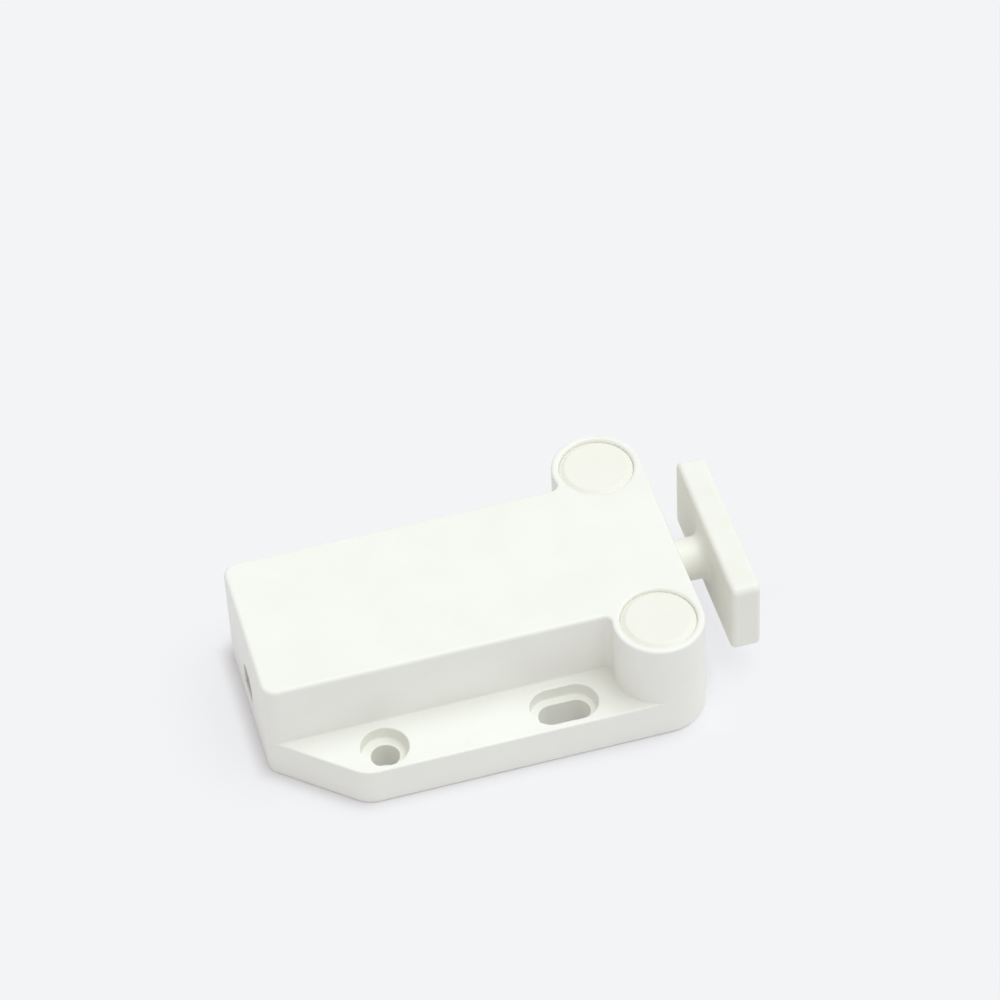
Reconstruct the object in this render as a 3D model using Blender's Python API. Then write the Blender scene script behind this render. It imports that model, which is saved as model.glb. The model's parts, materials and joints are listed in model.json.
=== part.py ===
"""Push-to-open touch latch: a moulded housing with a sprung plunger that ends in a cross bar.

Runs with blender --background --python part.py, or from Blender's text editor.
Metres. +X is the way the plunger comes out, +Y is its left side, +Z is away from the mounting face.
The origin lies on the mounting face, in the middle of the four mounting holes.
The plunger is modelled latched, as it stands behind a closed door.
"""

import math

import bpy
import numpy as np

MM = 0.001

# Clearances
FIT = 0.3 * MM  # between two pieces that touch or slide
RUN = 0.4 * MM  # above the slider, under the housing's roof
OPEN = 1.0 * MM  # how far a cutter runs past the face that it opens
SINK = 0.5 * MM  # how far a piece of a moulding runs into the piece that it grows from

# Roundness of the faceted curves
ARC_STEP = math.radians(11.25)
TURNED_SIDES = 32
SMALL_SIDES = 16
EDGE_STEPS = 2
SMOOTH_ANGLE = math.radians(30)

# Mounting pattern
HOLE_PITCH = 32.0 * MM  # round hole to slot, along X
HOLE_EDGE = 5.2 * MM  # hole centre to the flange's outer edge
HOLE_DIAMETER = 5.0 * MM
COUNTERBORE_DIAMETER = 8.4 * MM
COUNTERBORE_DEPTH = 2.5 * MM
SLOT_TRAVEL = 4.2 * MM  # how far a screw can shift in its slot
SLOT_COUNTERBORE = 7.9 * MM  # width across the slot
REAR_HOLE_INSET = 19.0 * MM  # rear face to the round holes

# Housing
WALL = 2.2 * MM
FRONT_WALL = 3.2 * MM
ROOF = 2.4 * MM
FLANGE_REACH = 11.1 * MM  # how far each flange stands out from the block
FLANGE_HEIGHT = 8.0 * MM
FLANGE_CORNER_RADIUS = 6.0 * MM
SLOPE_RUN = 14.4 * MM  # rear face to where a flange's slope would meet its side
BLOCK_CORNER_RADIUS = 2.5 * MM
TOP_EDGE_RADIUS = 0.8 * MM
REAR_ROOM = 17.8 * MM  # behind the latched slider
WINDOW_WIDTH = 6.0 * MM
WINDOW_SILL = 4.6 * MM
WINDOW_HEIGHT = 6.4 * MM
CORE_WALL = 1.9 * MM  # left around the cores in the flange's underside
CORE_ROOF = 2.2 * MM

# Posts, with their caps and case screws
POST_DIAMETER = 16.0 * MM
POST_RIM = 1.35 * MM
POST_WEB = 2.7 * MM
CAP_THICKNESS = 2.2 * MM
CAP_RECESS = 0.1 * MM
CAP_CHAMFER = 0.6 * MM
CAP_SPIGOT_LENGTH = 2.5 * MM
SCREW_DIAMETER = 3.0 * MM
SCREW_HEAD_DIAMETER = 6.5 * MM
SCREW_HEAD_HEIGHT = 2.4 * MM
SCREW_HEAD_CROWN = 0.9 * MM
SCREW_HEAD_FLAT = 4.6 * MM
SCREW_POINT = 1.5 * MM
SCREW_CROSS_LENGTH = 3.6 * MM
SCREW_CROSS_WIDTH = 0.8 * MM
SCREW_CROSS_DEPTH = 1.2 * MM
SCREW_WELL_GAP = 0.5 * MM

# Base plate
PLATE_THICKNESS = 2.0 * MM
WING_RADIUS = 5.6 * MM
BOSS_DIAMETER = 7.2 * MM
BOSS_HEIGHT = 7.0 * MM  # above the plate
RAIL_WIDTH = 2.0 * MM
TONGUE_WIDTH = 5.0 * MM
TONGUE_THICKNESS = 0.9 * MM
TONGUE_LENGTH = 1.4 * MM
TONGUE_HEIGHT = 0.7 * MM  # underside of the tongue

# Plunger
STROKE = 20.0 * MM  # latched to fully out
OVERTRAVEL = 3.0 * MM  # pushed in to let go
HEAD_GAP = 6.0 * MM  # cross bar to front face, latched
HEAD_THICKNESS = 5.25 * MM
HEAD_LENGTH = 33.3 * MM
HEAD_HEIGHT = 15.2 * MM
HEAD_CORNER_RADIUS = 1.4 * MM
HEAD_EDGE_RADIUS = 1.0 * MM
STEM_DIAMETER = 7.7 * MM
STEM_SOCKET = 14.0 * MM  # how far the stem goes into the slider
STEM_FLARE = 1.2 * MM  # widening where the stem meets the bar
STEM_CHAMFER = 0.6 * MM
MAGNET_LENGTH = 24.0 * MM
MAGNET_HEIGHT = 6.0 * MM
MAGNET_THICKNESS = 2.8 * MM
POLE_THICKNESS = 1.2 * MM
BUFFER_THICKNESS = 1.2 * MM

# Slider
SLIDER_NOSE = 6.0 * MM  # solid ahead of the spring bores
SLIDER_SIDE = 1.1 * MM  # outside the spring bores
SLIDER_WEB = 0.95 * MM  # between neighbouring bores, and over the cam groove
SLIDER_TOP = 1.35 * MM  # over the stem's bore
PIN_DIAMETER = 2.5 * MM
PIN_SETBACK = 3.4 * MM  # behind the slider's front face

# Ejector springs
SPRING_OUTER = 6.4 * MM
SPRING_WIRE = 0.9 * MM
SPRING_COILS = 15
SPRING_END_COILS = 1.5
SPRING_END_PITCH = 1.5 * MM
POINTS_PER_COIL = 8
LEAST_COIL_GAP = 0.4 * MM
ROD_DIAMETER = 3.0 * MM
ROD_OVERLAP = 2.0 * MM  # still inside the slider when it is fully out
ROD_SEAT = 1.2 * MM  # into the rear wall
ROD_END_ROOM = 1.0 * MM

# Heart cam
CAM_ROOM = 4.3 * MM  # between the base plate and the slider
GROOVE_DEPTH = 1.5 * MM
FOLLOWER_WIRE = 1.2 * MM
FOLLOWER_LENGTH = 35.0 * MM
FOLLOWER_BEND = 1.2 * MM
FOLLOWER_DROP = 1.4 * MM  # slider's underside to the wire's middle
FOLLOWER_BOSS = 5.0 * MM
CAM_SETBACK = 6.0 * MM  # slider's front face to the latched wire tip
CAM_LANE = 1.9 * MM
HEART_WIDTH = 4.4 * MM
HEART_LENGTH = 12.0 * MM
HEART_NOTCH = 1.5 * MM  # depth of the notch that holds the wire
CAM_TOOTH = 1.0 * MM  # steps in the groove's front end, which turn the wire aside

# Leaf spring under the follower
LEAF_WIDTH = 5.0 * MM
LEAF_THICKNESS = 0.4 * MM
LEAF_START = 3.4 * MM  # from the follower's anchored leg
LEAF_FOOT = 7.0 * MM
LEAF_RISE_LENGTH = 12.0 * MM
LEAF_TIP_LENGTH = 2.5 * MM
LEAF_TIP_DROP = 0.6 * MM
LEAF_STATIONS = 8
RIVET_DIAMETER = 2.0 * MM
RIVET_HEAD_DIAMETER = 3.8 * MM
RIVET_HEAD_HEIGHT = 0.6 * MM

# Heights, from the mounting face up
STEM_BORE = STEM_DIAMETER / 2 + FIT
SPRING_BORE = SPRING_OUTER / 2 + FIT
SLIDER_BOTTOM = PLATE_THICKNESS + CAM_ROOM
GROOVE_ROOF = SLIDER_BOTTOM + GROOVE_DEPTH
AXIS_HEIGHT = GROOVE_ROOF + SLIDER_WEB + STEM_BORE
SLIDER_CREST = AXIS_HEIGHT + STEM_BORE + SLIDER_TOP
CAVITY_TOP = SLIDER_CREST + RUN
BODY_HEIGHT = CAVITY_TOP + ROOF

# Half widths, from the middle plane out
SPRING_OFFSET = STEM_BORE + SLIDER_WEB + SPRING_BORE
SLIDER_HALF = SPRING_OFFSET + SPRING_BORE + SLIDER_SIDE
CAVITY_HALF = SLIDER_HALF + FIT
BLOCK_HALF = CAVITY_HALF + WALL
FLANGE_HALF = BLOCK_HALF + FLANGE_REACH
POST_RADIUS = POST_DIAMETER / 2
POST_Y = FLANGE_HALF - POST_RADIUS
HOLE_Y = FLANGE_HALF - HOLE_EDGE

# Lengths, from the rear face to the front
SPRING_BORE_DEPTH = STROKE + OVERTRAVEL + ROD_OVERLAP + ROD_END_ROOM
SLIDER_LENGTH = SPRING_BORE_DEPTH + SLIDER_NOSE
REAR_X = -HOLE_PITCH / 2 - REAR_HOLE_INSET
CAVITY_REAR = REAR_X + WALL
SLIDER_REAR = CAVITY_REAR + REAR_ROOM
SLIDER_FRONT = SLIDER_REAR + SLIDER_LENGTH
BUFFER_REAR = SLIDER_FRONT + STROKE + FIT
CAVITY_FRONT = BUFFER_REAR + BUFFER_THICKNESS + FIT
FRONT_X = CAVITY_FRONT + FRONT_WALL
POST_X = FRONT_X - POST_RADIUS
HEAD_REAR = FRONT_X + HEAD_GAP
HEAD_FRONT = HEAD_REAR + HEAD_THICKNESS
STEM_END = SLIDER_FRONT - STEM_SOCKET
TIP_X = SLIDER_FRONT - CAM_SETBACK
ANCHOR_X = TIP_X - FOLLOWER_LENGTH

SIDES = {"left": 1, "right": -1}


# Outlines and faces


def arc(centre, radius, start, stop):
    """Points on an arc about centre, from angle start to angle stop, both included."""
    steps = max(1, math.ceil(abs(stop - start) / ARC_STEP - 1e-6))
    angles = [start + (stop - start) * i / steps for i in range(steps + 1)]
    return [(centre[0] + radius * math.cos(a), centre[1] + radius * math.sin(a)) for a in angles]


def circle(radius, centre=(0, 0), sides=TURNED_SIDES):
    angles = [2 * math.pi * i / sides for i in range(sides)]
    return [(centre[0] + radius * math.cos(a), centre[1] + radius * math.sin(a)) for a in angles]


def rectangle(low, high):
    return [low, (high[0], low[1]), high, (low[0], high[1])]


def rounded_rectangle(width, height, radius, centre):
    """A rectangle whose four corners are arcs, counter-clockwise."""
    across = width / 2 - radius
    up = height / 2 - radius
    corners = [(across, -up), (across, up), (-across, up), (-across, -up)]
    points = []
    for i, (u, v) in enumerate(corners):
        start = (i - 1) * math.pi / 2
        points += arc((centre[0] + u, centre[1] + v), radius, start, start + math.pi / 2)
    return points


def stadium(radius, travel, centre):
    """A slot's outline: two half circles, travel apart along X."""
    right = arc((centre[0] + travel / 2, centre[1]), radius, -math.pi / 2, math.pi / 2)
    left = arc((centre[0] - travel / 2, centre[1]), radius, math.pi / 2, 3 * math.pi / 2)
    return right + left


def with_mirror(half):
    """Closes an outline whose +Y half runs from front to rear, with its mirror image."""
    return half + [(x, -y) for x, y in reversed(half)]


def inset(outline, distance):
    """Moves each point of a counter-clockwise outline inwards, square to both of its edges."""
    points = np.array(outline)
    edges = np.roll(points, -1, axis=0) - points
    edges /= np.linalg.norm(edges, axis=1, keepdims=True)
    inward = np.stack([-edges[:, 1], edges[:, 0]], axis=1)
    before = np.roll(inward, 1, axis=0)
    mitre = (before + inward) / (1 + (before * inward).sum(axis=1, keepdims=True))
    return [tuple(p) for p in points + distance * mitre]


def level(outline, z):
    return [(x, y, z) for x, y in outline]


def upright(outline, x):
    """Puts an outline given in Y and Z at one X."""
    return [(x, y, z) for y, z in outline]


def between(low, high):
    """Quads from one ring of points to the next."""
    count = len(low)
    return [[low[i], low[(i + 1) % count], high[(i + 1) % count], high[i]] for i in range(count)]


def loft(rings):
    """Faces of a closed solid through rings of equal count, which turn left about the way they go."""
    faces = [list(reversed(rings[0])), rings[-1]]
    for low, high in zip(rings, rings[1:]):
        faces += between(low, high)
    return faces


def turned_up(profile, centre=(0, 0), sides=TURNED_SIDES):
    """Faces of a solid turned about a vertical axis. The profile lists (radius, z), going up."""
    return loft([level(circle(radius, centre, sides), z) for radius, z in profile])


def turned_forward(profile, centre, sides=TURNED_SIDES):
    """Faces of a solid turned about an axis along X. The profile lists (radius, x), going forward."""
    return loft([upright(circle(radius, centre, sides), x) for radius, x in profile])


def prism(outline, low, high):
    return loft([level(outline, low), level(outline, high)])


def box(low, high):
    return prism(rectangle(low[:2], high[:2]), low[2], high[2])


# Objects and materials


def material(name, colour, roughness, metallic=0.0):
    made = bpy.data.materials.new(name)
    made.use_nodes = True
    shader = made.node_tree.nodes["Principled BSDF"]
    shader.inputs["Base Color"].default_value = (*colour, 1.0)
    shader.inputs["Roughness"].default_value = roughness
    shader.inputs["Metallic"].default_value = metallic
    made.diffuse_color = (*colour, 1.0)
    return made


def add_object(name, data, finish, parent=None):
    made = bpy.data.objects.new(name, data)
    bpy.context.scene.collection.objects.link(made)
    if finish:
        data.materials.append(finish)
    if parent:
        made.parent = parent
        made.matrix_parent_inverse = parent.matrix_world.inverted()
    return made


def piece(name, faces, finish=None, parent=None):
    """A mesh object from faces given as lists of points. Equal points become one vertex."""
    index = {}
    loops = []
    for face in faces:
        keys = [tuple(round(c, 9) for c in point) for point in face]
        loops.append([index.setdefault(key, len(index)) for key in keys])
    mesh = bpy.data.meshes.new(name)
    mesh.from_pydata(list(index), [], loops)
    mesh.shade_smooth()
    mesh.set_sharp_from_angle(angle=SMOOTH_ANGLE)
    return add_object(name, mesh, finish, parent)


def tube(name, points, radius, resolution, finish, parent=None):
    """A round wire along points, as a curve with a bevel and closed ends."""
    curve = bpy.data.curves.new(name, "CURVE")
    curve.dimensions = "3D"
    curve.bevel_depth = radius
    curve.bevel_resolution = resolution
    curve.use_fill_caps = True
    spline = curve.splines.new("POLY")
    spline.points.add(len(points) - 1)
    spline.points.foreach_set("co", np.insert(np.array(points), 3, 1.0, axis=1).ravel())
    return add_object(name, curve, finish, parent)


def combine(target, operation, tools):
    """Adds a Boolean for each tool, and hides the tool as a helper."""
    for tool in tools:
        modifier = target.modifiers.new(tool.name, "BOOLEAN")
        modifier.operation = operation
        modifier.solver = "EXACT"
        modifier.object = tool
        tool.hide_render = True
        tool.display_type = "WIRE"


def cut(target, *tools):
    combine(target, "DIFFERENCE", tools)


def grow(target, *tools):
    combine(target, "UNION", tools)


# Housing


def post_sockets():
    """Where the posts' bores change, from the bottom up: (radius, z)."""
    web_low = PLATE_THICKNESS + BOSS_HEIGHT + FIT
    web_high = web_low + POST_WEB
    seat = BODY_HEIGHT - CAP_RECESS - CAP_THICKNESS - FIT
    boss_bore = BOSS_DIAMETER / 2 + FIT
    screw_bore = SCREW_DIAMETER / 2 + FIT
    well = SCREW_HEAD_DIAMETER / 2 + SCREW_WELL_GAP
    cap_bore = POST_RADIUS - POST_RIM
    return [
        (boss_bore, -OPEN),
        (boss_bore, web_low),
        (screw_bore, web_low),
        (screw_bore, web_high),
        (well, web_high),
        (well, seat),
        (cap_bore, seat),
        (cap_bore, BODY_HEIGHT + OPEN),
    ]


def housing_shell():
    """Faces of the solid outer form: flanges below, the block and the two posts above."""
    post = (POST_X, POST_Y)
    corner = (REAR_X + BLOCK_CORNER_RADIUS, BLOCK_HALF - BLOCK_CORNER_RADIUS)
    quarter = math.pi / 2
    meet = math.pi + math.asin((POST_Y - BLOCK_HALF) / POST_RADIUS)
    nose = arc(post, POST_RADIUS, 0, quarter)
    post_back = arc(post, POST_RADIUS, quarter, meet)
    # The slope is tangent to the block's rear corner and ends where it would meet the flange's side.
    across = REAR_X + SLOPE_RUN - corner[0]
    out = FLANGE_HALF - corner[1]
    slope = math.atan2(out, across) - math.asin(BLOCK_CORNER_RADIUS / math.hypot(across, out))
    tail_side = arc(corner, BLOCK_CORNER_RADIUS, quarter, quarter + slope)
    tail_rear = arc(corner, BLOCK_CORNER_RADIUS, quarter + slope, 2 * quarter)
    round_x = REAR_X + SLOPE_RUN + FLANGE_CORNER_RADIUS * math.tan(slope / 2)
    round_y = FLANGE_HALF - FLANGE_CORNER_RADIUS
    edge = arc((round_x, round_y), FLANGE_CORNER_RADIUS, quarter, quarter + slope)

    lower = with_mirror(nose + edge + tail_rear)
    upper = with_mirror(nose + post_back[1:] + tail_side + tail_rear[1:])
    flange_top = [nose[-1]] + edge + tail_side[::-1] + post_back[:0:-1]
    flange_top_mirrored = [(x, -y) for x, y in reversed(flange_top)]

    rings = [level(upper, FLANGE_HEIGHT)]
    for step in range(EDGE_STEPS + 1):
        angle = quarter * step / EDGE_STEPS
        outline = inset(upper, TOP_EDGE_RADIUS * (1 - math.cos(angle)))
        rings.append(level(outline, BODY_HEIGHT - TOP_EDGE_RADIUS * (1 - math.sin(angle))))
    faces = [list(reversed(level(lower, 0))), rings[-1]]
    faces += between(level(lower, 0), level(lower, FLANGE_HEIGHT))
    faces += [level(flange_top, FLANGE_HEIGHT), level(flange_top_mirrored, FLANGE_HEIGHT)]
    for low, high in zip(rings, rings[1:]):
        faces += between(low, high)
    return faces


def hole_cutters(side):
    """The round hole and the slot of one flange, each with its counterbore."""
    y = side * HOLE_Y
    floor = FLANGE_HEIGHT - COUNTERBORE_DEPTH
    cutters = []
    hole = (-HOLE_PITCH / 2, y)
    slot = (HOLE_PITCH / 2, y)
    outlines = {
        "hole": (circle(HOLE_DIAMETER / 2, hole), circle(COUNTERBORE_DIAMETER / 2, hole)),
        "slot": (
            stadium(HOLE_DIAMETER / 2, SLOT_TRAVEL, slot),
            stadium(SLOT_COUNTERBORE / 2, SLOT_TRAVEL, slot),
        ),
    }
    for name, (through, wide) in outlines.items():
        rings = [level(through, -OPEN), level(through, floor)]
        rings += [level(wide, floor), level(wide, FLANGE_HEIGHT + OPEN)]
        cutters.append(piece(f"{name}_cutter_{side}", loft(rings)))
    return cutters


def core_cutters(side):
    """Two hollows in one flange's underside, between the round hole and the slot."""
    reach = HOLE_DIAMETER / 2 + CORE_WALL
    rear = -HOLE_PITCH / 2 + reach
    front = HOLE_PITCH / 2 - SLOT_TRAVEL / 2 - reach
    middle = (rear + front) / 2
    near = BLOCK_HALF
    far = FLANGE_HALF - CORE_WALL
    cutters = []
    for name, start, stop in (
        ("rear", rear, middle - CORE_WALL / 2),
        ("front", middle + CORE_WALL / 2, front),
    ):
        low = (start, min(side * near, side * far), -OPEN)
        high = (stop, max(side * near, side * far), FLANGE_HEIGHT - CORE_ROOF)
        cutters.append(piece(f"{name}_core_cutter_{side}", box(low, high)))
    return cutters


def wing_outline(side, clearance):
    """The base plate's wing under one post, from inside the cavity out to its round end."""
    radius = WING_RADIUS + clearance
    start = SLIDER_HALF - clearance
    half_turn = arc((POST_X, POST_Y), radius, 0, math.pi)
    outline = [(POST_X + radius, start)] + half_turn + [(POST_X - radius, start)]
    if side > 0:
        return outline
    return [(x, -y) for x, y in reversed(outline)]


def window_outline():
    """The rear window in Y and Z: straight sides under a round arch."""
    radius = WINDOW_WIDTH / 2
    spring_line = WINDOW_SILL + WINDOW_HEIGHT - radius
    arch = arc((0, spring_line), radius, 0, math.pi)
    return [(-radius, WINDOW_SILL), (radius, WINDOW_SILL)] + arch


def tongue_box(side, clearance):
    """Corners of the base plate's tongue in the rear wall, grown by a clearance."""
    inner = WINDOW_WIDTH / 2 + WALL - clearance
    outer = WINDOW_WIDTH / 2 + WALL + TONGUE_WIDTH + clearance
    low_y, high_y = sorted((side * inner, side * outer))
    low = (CAVITY_REAR + FIT - TONGUE_LENGTH - clearance, low_y, TONGUE_HEIGHT - clearance)
    high = (CAVITY_REAR + WALL, high_y, TONGUE_HEIGHT + TONGUE_THICKNESS + clearance)
    return low, high


def make_housing(finish):
    housing = piece("housing", housing_shell(), finish)
    low = (CAVITY_REAR, -CAVITY_HALF, -OPEN)
    high = (CAVITY_FRONT, CAVITY_HALF, CAVITY_TOP)
    cut(housing, piece("cavity_cutter", box(low, high)))
    bore = [(STEM_BORE, CAVITY_FRONT - OPEN), (STEM_BORE, FRONT_X + OPEN)]
    cut(housing, piece("stem_bore_cutter", turned_forward(bore, (0, AXIS_HEIGHT))))
    window = [upright(window_outline(), x) for x in (REAR_X - OPEN, CAVITY_REAR + OPEN)]
    cut(housing, piece("window_cutter", loft(window)))
    for name, side in SIDES.items():
        sockets = turned_up(post_sockets(), (POST_X, side * POST_Y))
        cut(housing, piece(f"post_cutter_{name}", sockets))
        wing = prism(wing_outline(side, FIT), -OPEN, PLATE_THICKNESS + FIT)
        cut(housing, piece(f"wing_cutter_{name}", wing))
        cut(housing, piece(f"tongue_cutter_{name}", box(*tongue_box(side, FIT))))
        seat = [
            (ROD_DIAMETER / 2 + FIT, CAVITY_REAR - ROD_SEAT),
            (ROD_DIAMETER / 2 + FIT, CAVITY_REAR + OPEN),
        ]
        place = (side * SPRING_OFFSET, AXIS_HEIGHT)
        cut(housing, piece(f"rod_seat_cutter_{name}", turned_forward(seat, place, SMALL_SIDES)))
        cut(housing, *hole_cutters(side), *core_cutters(side))


def make_cap(name, side, finish):
    """A round cap with a chamfered rim, on a spigot that plugs the screw's well."""
    top = BODY_HEIGHT - CAP_RECESS
    under = top - CAP_THICKNESS
    radius = POST_RADIUS - POST_RIM - FIT
    spigot = SCREW_HEAD_DIAMETER / 2 + SCREW_WELL_GAP - FIT
    profile = [
        (spigot, under - CAP_SPIGOT_LENGTH),
        (spigot, under),
        (radius, under),
        (radius, top - CAP_CHAMFER),
        (radius - CAP_CHAMFER, top),
    ]
    piece(f"post_cap_{name}", turned_up(profile, (POST_X, side * POST_Y)), finish)


def make_post_screw(name, side, finish):
    """A crowned-head case screw with a cross recess, from the post's web down into the plate's boss."""
    under_head = PLATE_THICKNESS + BOSS_HEIGHT + FIT + POST_WEB + FIT
    top = under_head + SCREW_HEAD_HEIGHT
    point = PLATE_THICKNESS + FIT + FIT
    shank = SCREW_DIAMETER / 2
    profile = [
        (shank / 2, point),
        (shank, point + SCREW_POINT),
        (shank, under_head),
        (SCREW_HEAD_DIAMETER / 2, under_head),
        (SCREW_HEAD_DIAMETER / 2, top - SCREW_HEAD_CROWN),
        (SCREW_HEAD_FLAT / 2, top),
    ]
    centre = (POST_X, side * POST_Y)
    screw = piece(f"post_screw_{name}", turned_up(profile, centre, SMALL_SIDES), finish)
    for way, length, width in (
        ("along", SCREW_CROSS_LENGTH, SCREW_CROSS_WIDTH),
        ("across", SCREW_CROSS_WIDTH, SCREW_CROSS_LENGTH),
    ):
        low = (centre[0] - length / 2, centre[1] - width / 2, top - SCREW_CROSS_DEPTH)
        high = (centre[0] + length / 2, centre[1] + width / 2, top + OPEN)
        cut(screw, piece(f"cross_{way}_cutter_{name}", box(low, high)))


# Base plate


def plate_outline():
    """The plate in the housing's underside, with a round-ended wing under each post."""
    front = CAVITY_FRONT - FIT
    rear = CAVITY_REAR + FIT
    wing = wing_outline(1, 0)
    return with_mirror([(front, SLIDER_HALF)] + wing + [(rear, SLIDER_HALF)])


def make_base_plate(finish):
    plate = piece("base_plate", prism(plate_outline(), 0, PLATE_THICKNESS), finish)
    rail_top = SLIDER_BOTTOM - FIT
    root = PLATE_THICKNESS - SINK
    for name, side in SIDES.items():
        outer = SLIDER_HALF - FIT
        low_y, high_y = sorted((side * (outer - RAIL_WIDTH), side * outer))
        rail = box(
            (CAVITY_REAR + WALL, low_y, root),
            (CAVITY_FRONT - FRONT_WALL, high_y, rail_top),
        )
        post = (POST_X, side * POST_Y)
        boss = [(BOSS_DIAMETER / 2, root), (BOSS_DIAMETER / 2, PLATE_THICKNESS + BOSS_HEIGHT)]
        pilot = [
            (SCREW_DIAMETER / 2 + FIT, PLATE_THICKNESS + FIT),
            (SCREW_DIAMETER / 2 + FIT, PLATE_THICKNESS + BOSS_HEIGHT + OPEN),
        ]
        grow(plate, piece(f"rail_{name}", rail))
        grow(plate, piece(f"boss_{name}", turned_up(boss, post)))
        grow(plate, piece(f"tongue_{name}", box(*tongue_box(side, 0))))
        cut(plate, piece(f"pilot_cutter_{name}", turned_up(pilot, post, SMALL_SIDES)))
    boss_top = SLIDER_BOTTOM - FOLLOWER_DROP - FOLLOWER_WIRE / 2 - FIT
    anchor = (ANCHOR_X, 0)
    follower_boss = [(FOLLOWER_BOSS / 2, root), (FOLLOWER_BOSS / 2, boss_top)]
    grow(plate, piece("follower_boss", turned_up(follower_boss, anchor, SMALL_SIDES)))
    bore = FOLLOWER_WIRE / 2 + FIT
    leg_hole = [(bore, FIT * 2), (bore, boss_top + OPEN)]
    cut(plate, piece("leg_hole_cutter", turned_up(leg_hole, anchor, SMALL_SIDES)))
    rivet_bore = RIVET_DIAMETER / 2 + FIT
    rivet_hole = [(rivet_bore, FIT), (rivet_bore, PLATE_THICKNESS + OPEN)]
    rivet = (rivet_x(), 0)
    cut(plate, piece("rivet_hole_cutter", turned_up(rivet_hole, rivet, SMALL_SIDES)))


# Plunger


def make_t_head(finish, parent):
    """The cross bar with rounded edges, and the round stem that flares into its back."""
    outline = rounded_rectangle(HEAD_LENGTH, HEAD_HEIGHT, HEAD_CORNER_RADIUS, (0, AXIS_HEIGHT))
    rings = []
    for step in range(EDGE_STEPS + 1):
        angle = math.pi / 2 * step / EDGE_STEPS
        shrunk = inset(outline, HEAD_EDGE_RADIUS * (1 - math.sin(angle)))
        rings.append((shrunk, HEAD_EDGE_RADIUS * (1 - math.cos(angle))))
    back = [upright(shrunk, HEAD_REAR + depth) for shrunk, depth in rings]
    front = [upright(shrunk, HEAD_FRONT - depth) for shrunk, depth in reversed(rings)]
    head = piece("t_head", loft(back + front), finish, parent)
    radius = STEM_DIAMETER / 2
    stem = [
        (radius - STEM_CHAMFER, STEM_END + FIT),
        (radius, STEM_END + FIT + STEM_CHAMFER),
        (radius, HEAD_REAR - STEM_FLARE),
        (radius + STEM_FLARE, HEAD_REAR),
        (radius + STEM_FLARE, HEAD_REAR + SINK),
    ]
    grow(head, piece("stem", turned_forward(stem, (0, AXIS_HEIGHT))))
    pin_bore = PIN_DIAMETER / 2 + FIT
    pin_hole = [(pin_bore, AXIS_HEIGHT - radius - OPEN), (pin_bore, AXIS_HEIGHT + radius + OPEN)]
    pin = (SLIDER_FRONT - PIN_SETBACK, 0)
    cut(head, piece("stem_pin_cutter", turned_up(pin_hole, pin, SMALL_SIDES)))
    half_height = MAGNET_HEIGHT / 2 + FIT + POLE_THICKNESS + FIT
    half_length = MAGNET_LENGTH / 2 + FIT
    low = (magnet_rear() - FIT, -half_length, AXIS_HEIGHT - half_height)
    high = (HEAD_FRONT + OPEN, half_length, AXIS_HEIGHT + half_height)
    cut(head, piece("magnet_pocket_cutter", box(low, high)))


def magnet_rear():
    return HEAD_FRONT - FIT - MAGNET_THICKNESS


def make_magnet_pack(magnet_finish, pole_finish, parent):
    """A flat magnet in the bar's front face, between two steel plates that stand flush with it."""
    half_length = MAGNET_LENGTH / 2
    half_height = MAGNET_HEIGHT / 2
    low = (magnet_rear(), -half_length, AXIS_HEIGHT - half_height)
    high = (magnet_rear() + MAGNET_THICKNESS, half_length, AXIS_HEIGHT + half_height)
    piece("magnet", box(low, high), magnet_finish, parent)
    for name, way in (("upper", 1), ("lower", -1)):
        inner = way * (half_height + FIT)
        outer = way * (half_height + FIT + POLE_THICKNESS)
        low_z, high_z = sorted((AXIS_HEIGHT + inner, AXIS_HEIGHT + outer))
        faces = box((magnet_rear(), -half_length, low_z), (HEAD_FRONT, half_length, high_z))
        piece(f"pole_plate_{name}", faces, pole_finish, parent)


def track_outline():
    """The cam groove's outer edge: a wide front round the heart, narrowing to one lane at the rear."""
    tip = FOLLOWER_WIRE / 2 + FIT
    half = HEART_WIDTH / 2 + CAM_LANE
    front = TIP_X + OVERTRAVEL + tip
    narrow = TIP_X - HEART_LENGTH
    rear = TIP_X - STROKE - tip
    return [
        (front, -CAM_TOOTH / 2),
        (front + CAM_TOOTH, CAM_LANE),
        (front, half),
        (narrow + CAM_LANE * 2, half),
        (narrow - CAM_LANE, tip),
        (rear, tip),
        (rear, -tip),
        (narrow - CAM_LANE, -tip),
        (narrow + CAM_LANE * 2, -half),
        (front, -half),
        (front + CAM_TOOTH / 2, -CAM_LANE),
    ]


def heart_outline():
    """The heart-shaped island: a square notch in front that holds the wire, and a point at the rear."""
    notch = TIP_X - (FOLLOWER_WIRE / 2 + FIT) * math.sqrt(2)
    half = HEART_WIDTH / 2
    return [
        (notch, 0),
        (notch + HEART_NOTCH, HEART_NOTCH),
        (notch + HEART_NOTCH / 2, half),
        (notch - HEART_NOTCH, half),
        (TIP_X - HEART_LENGTH, 0),
        (notch - HEART_NOTCH, -half),
        (notch + HEART_NOTCH / 2, -half),
        (notch + HEART_NOTCH, -HEART_NOTCH),
    ]


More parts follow.
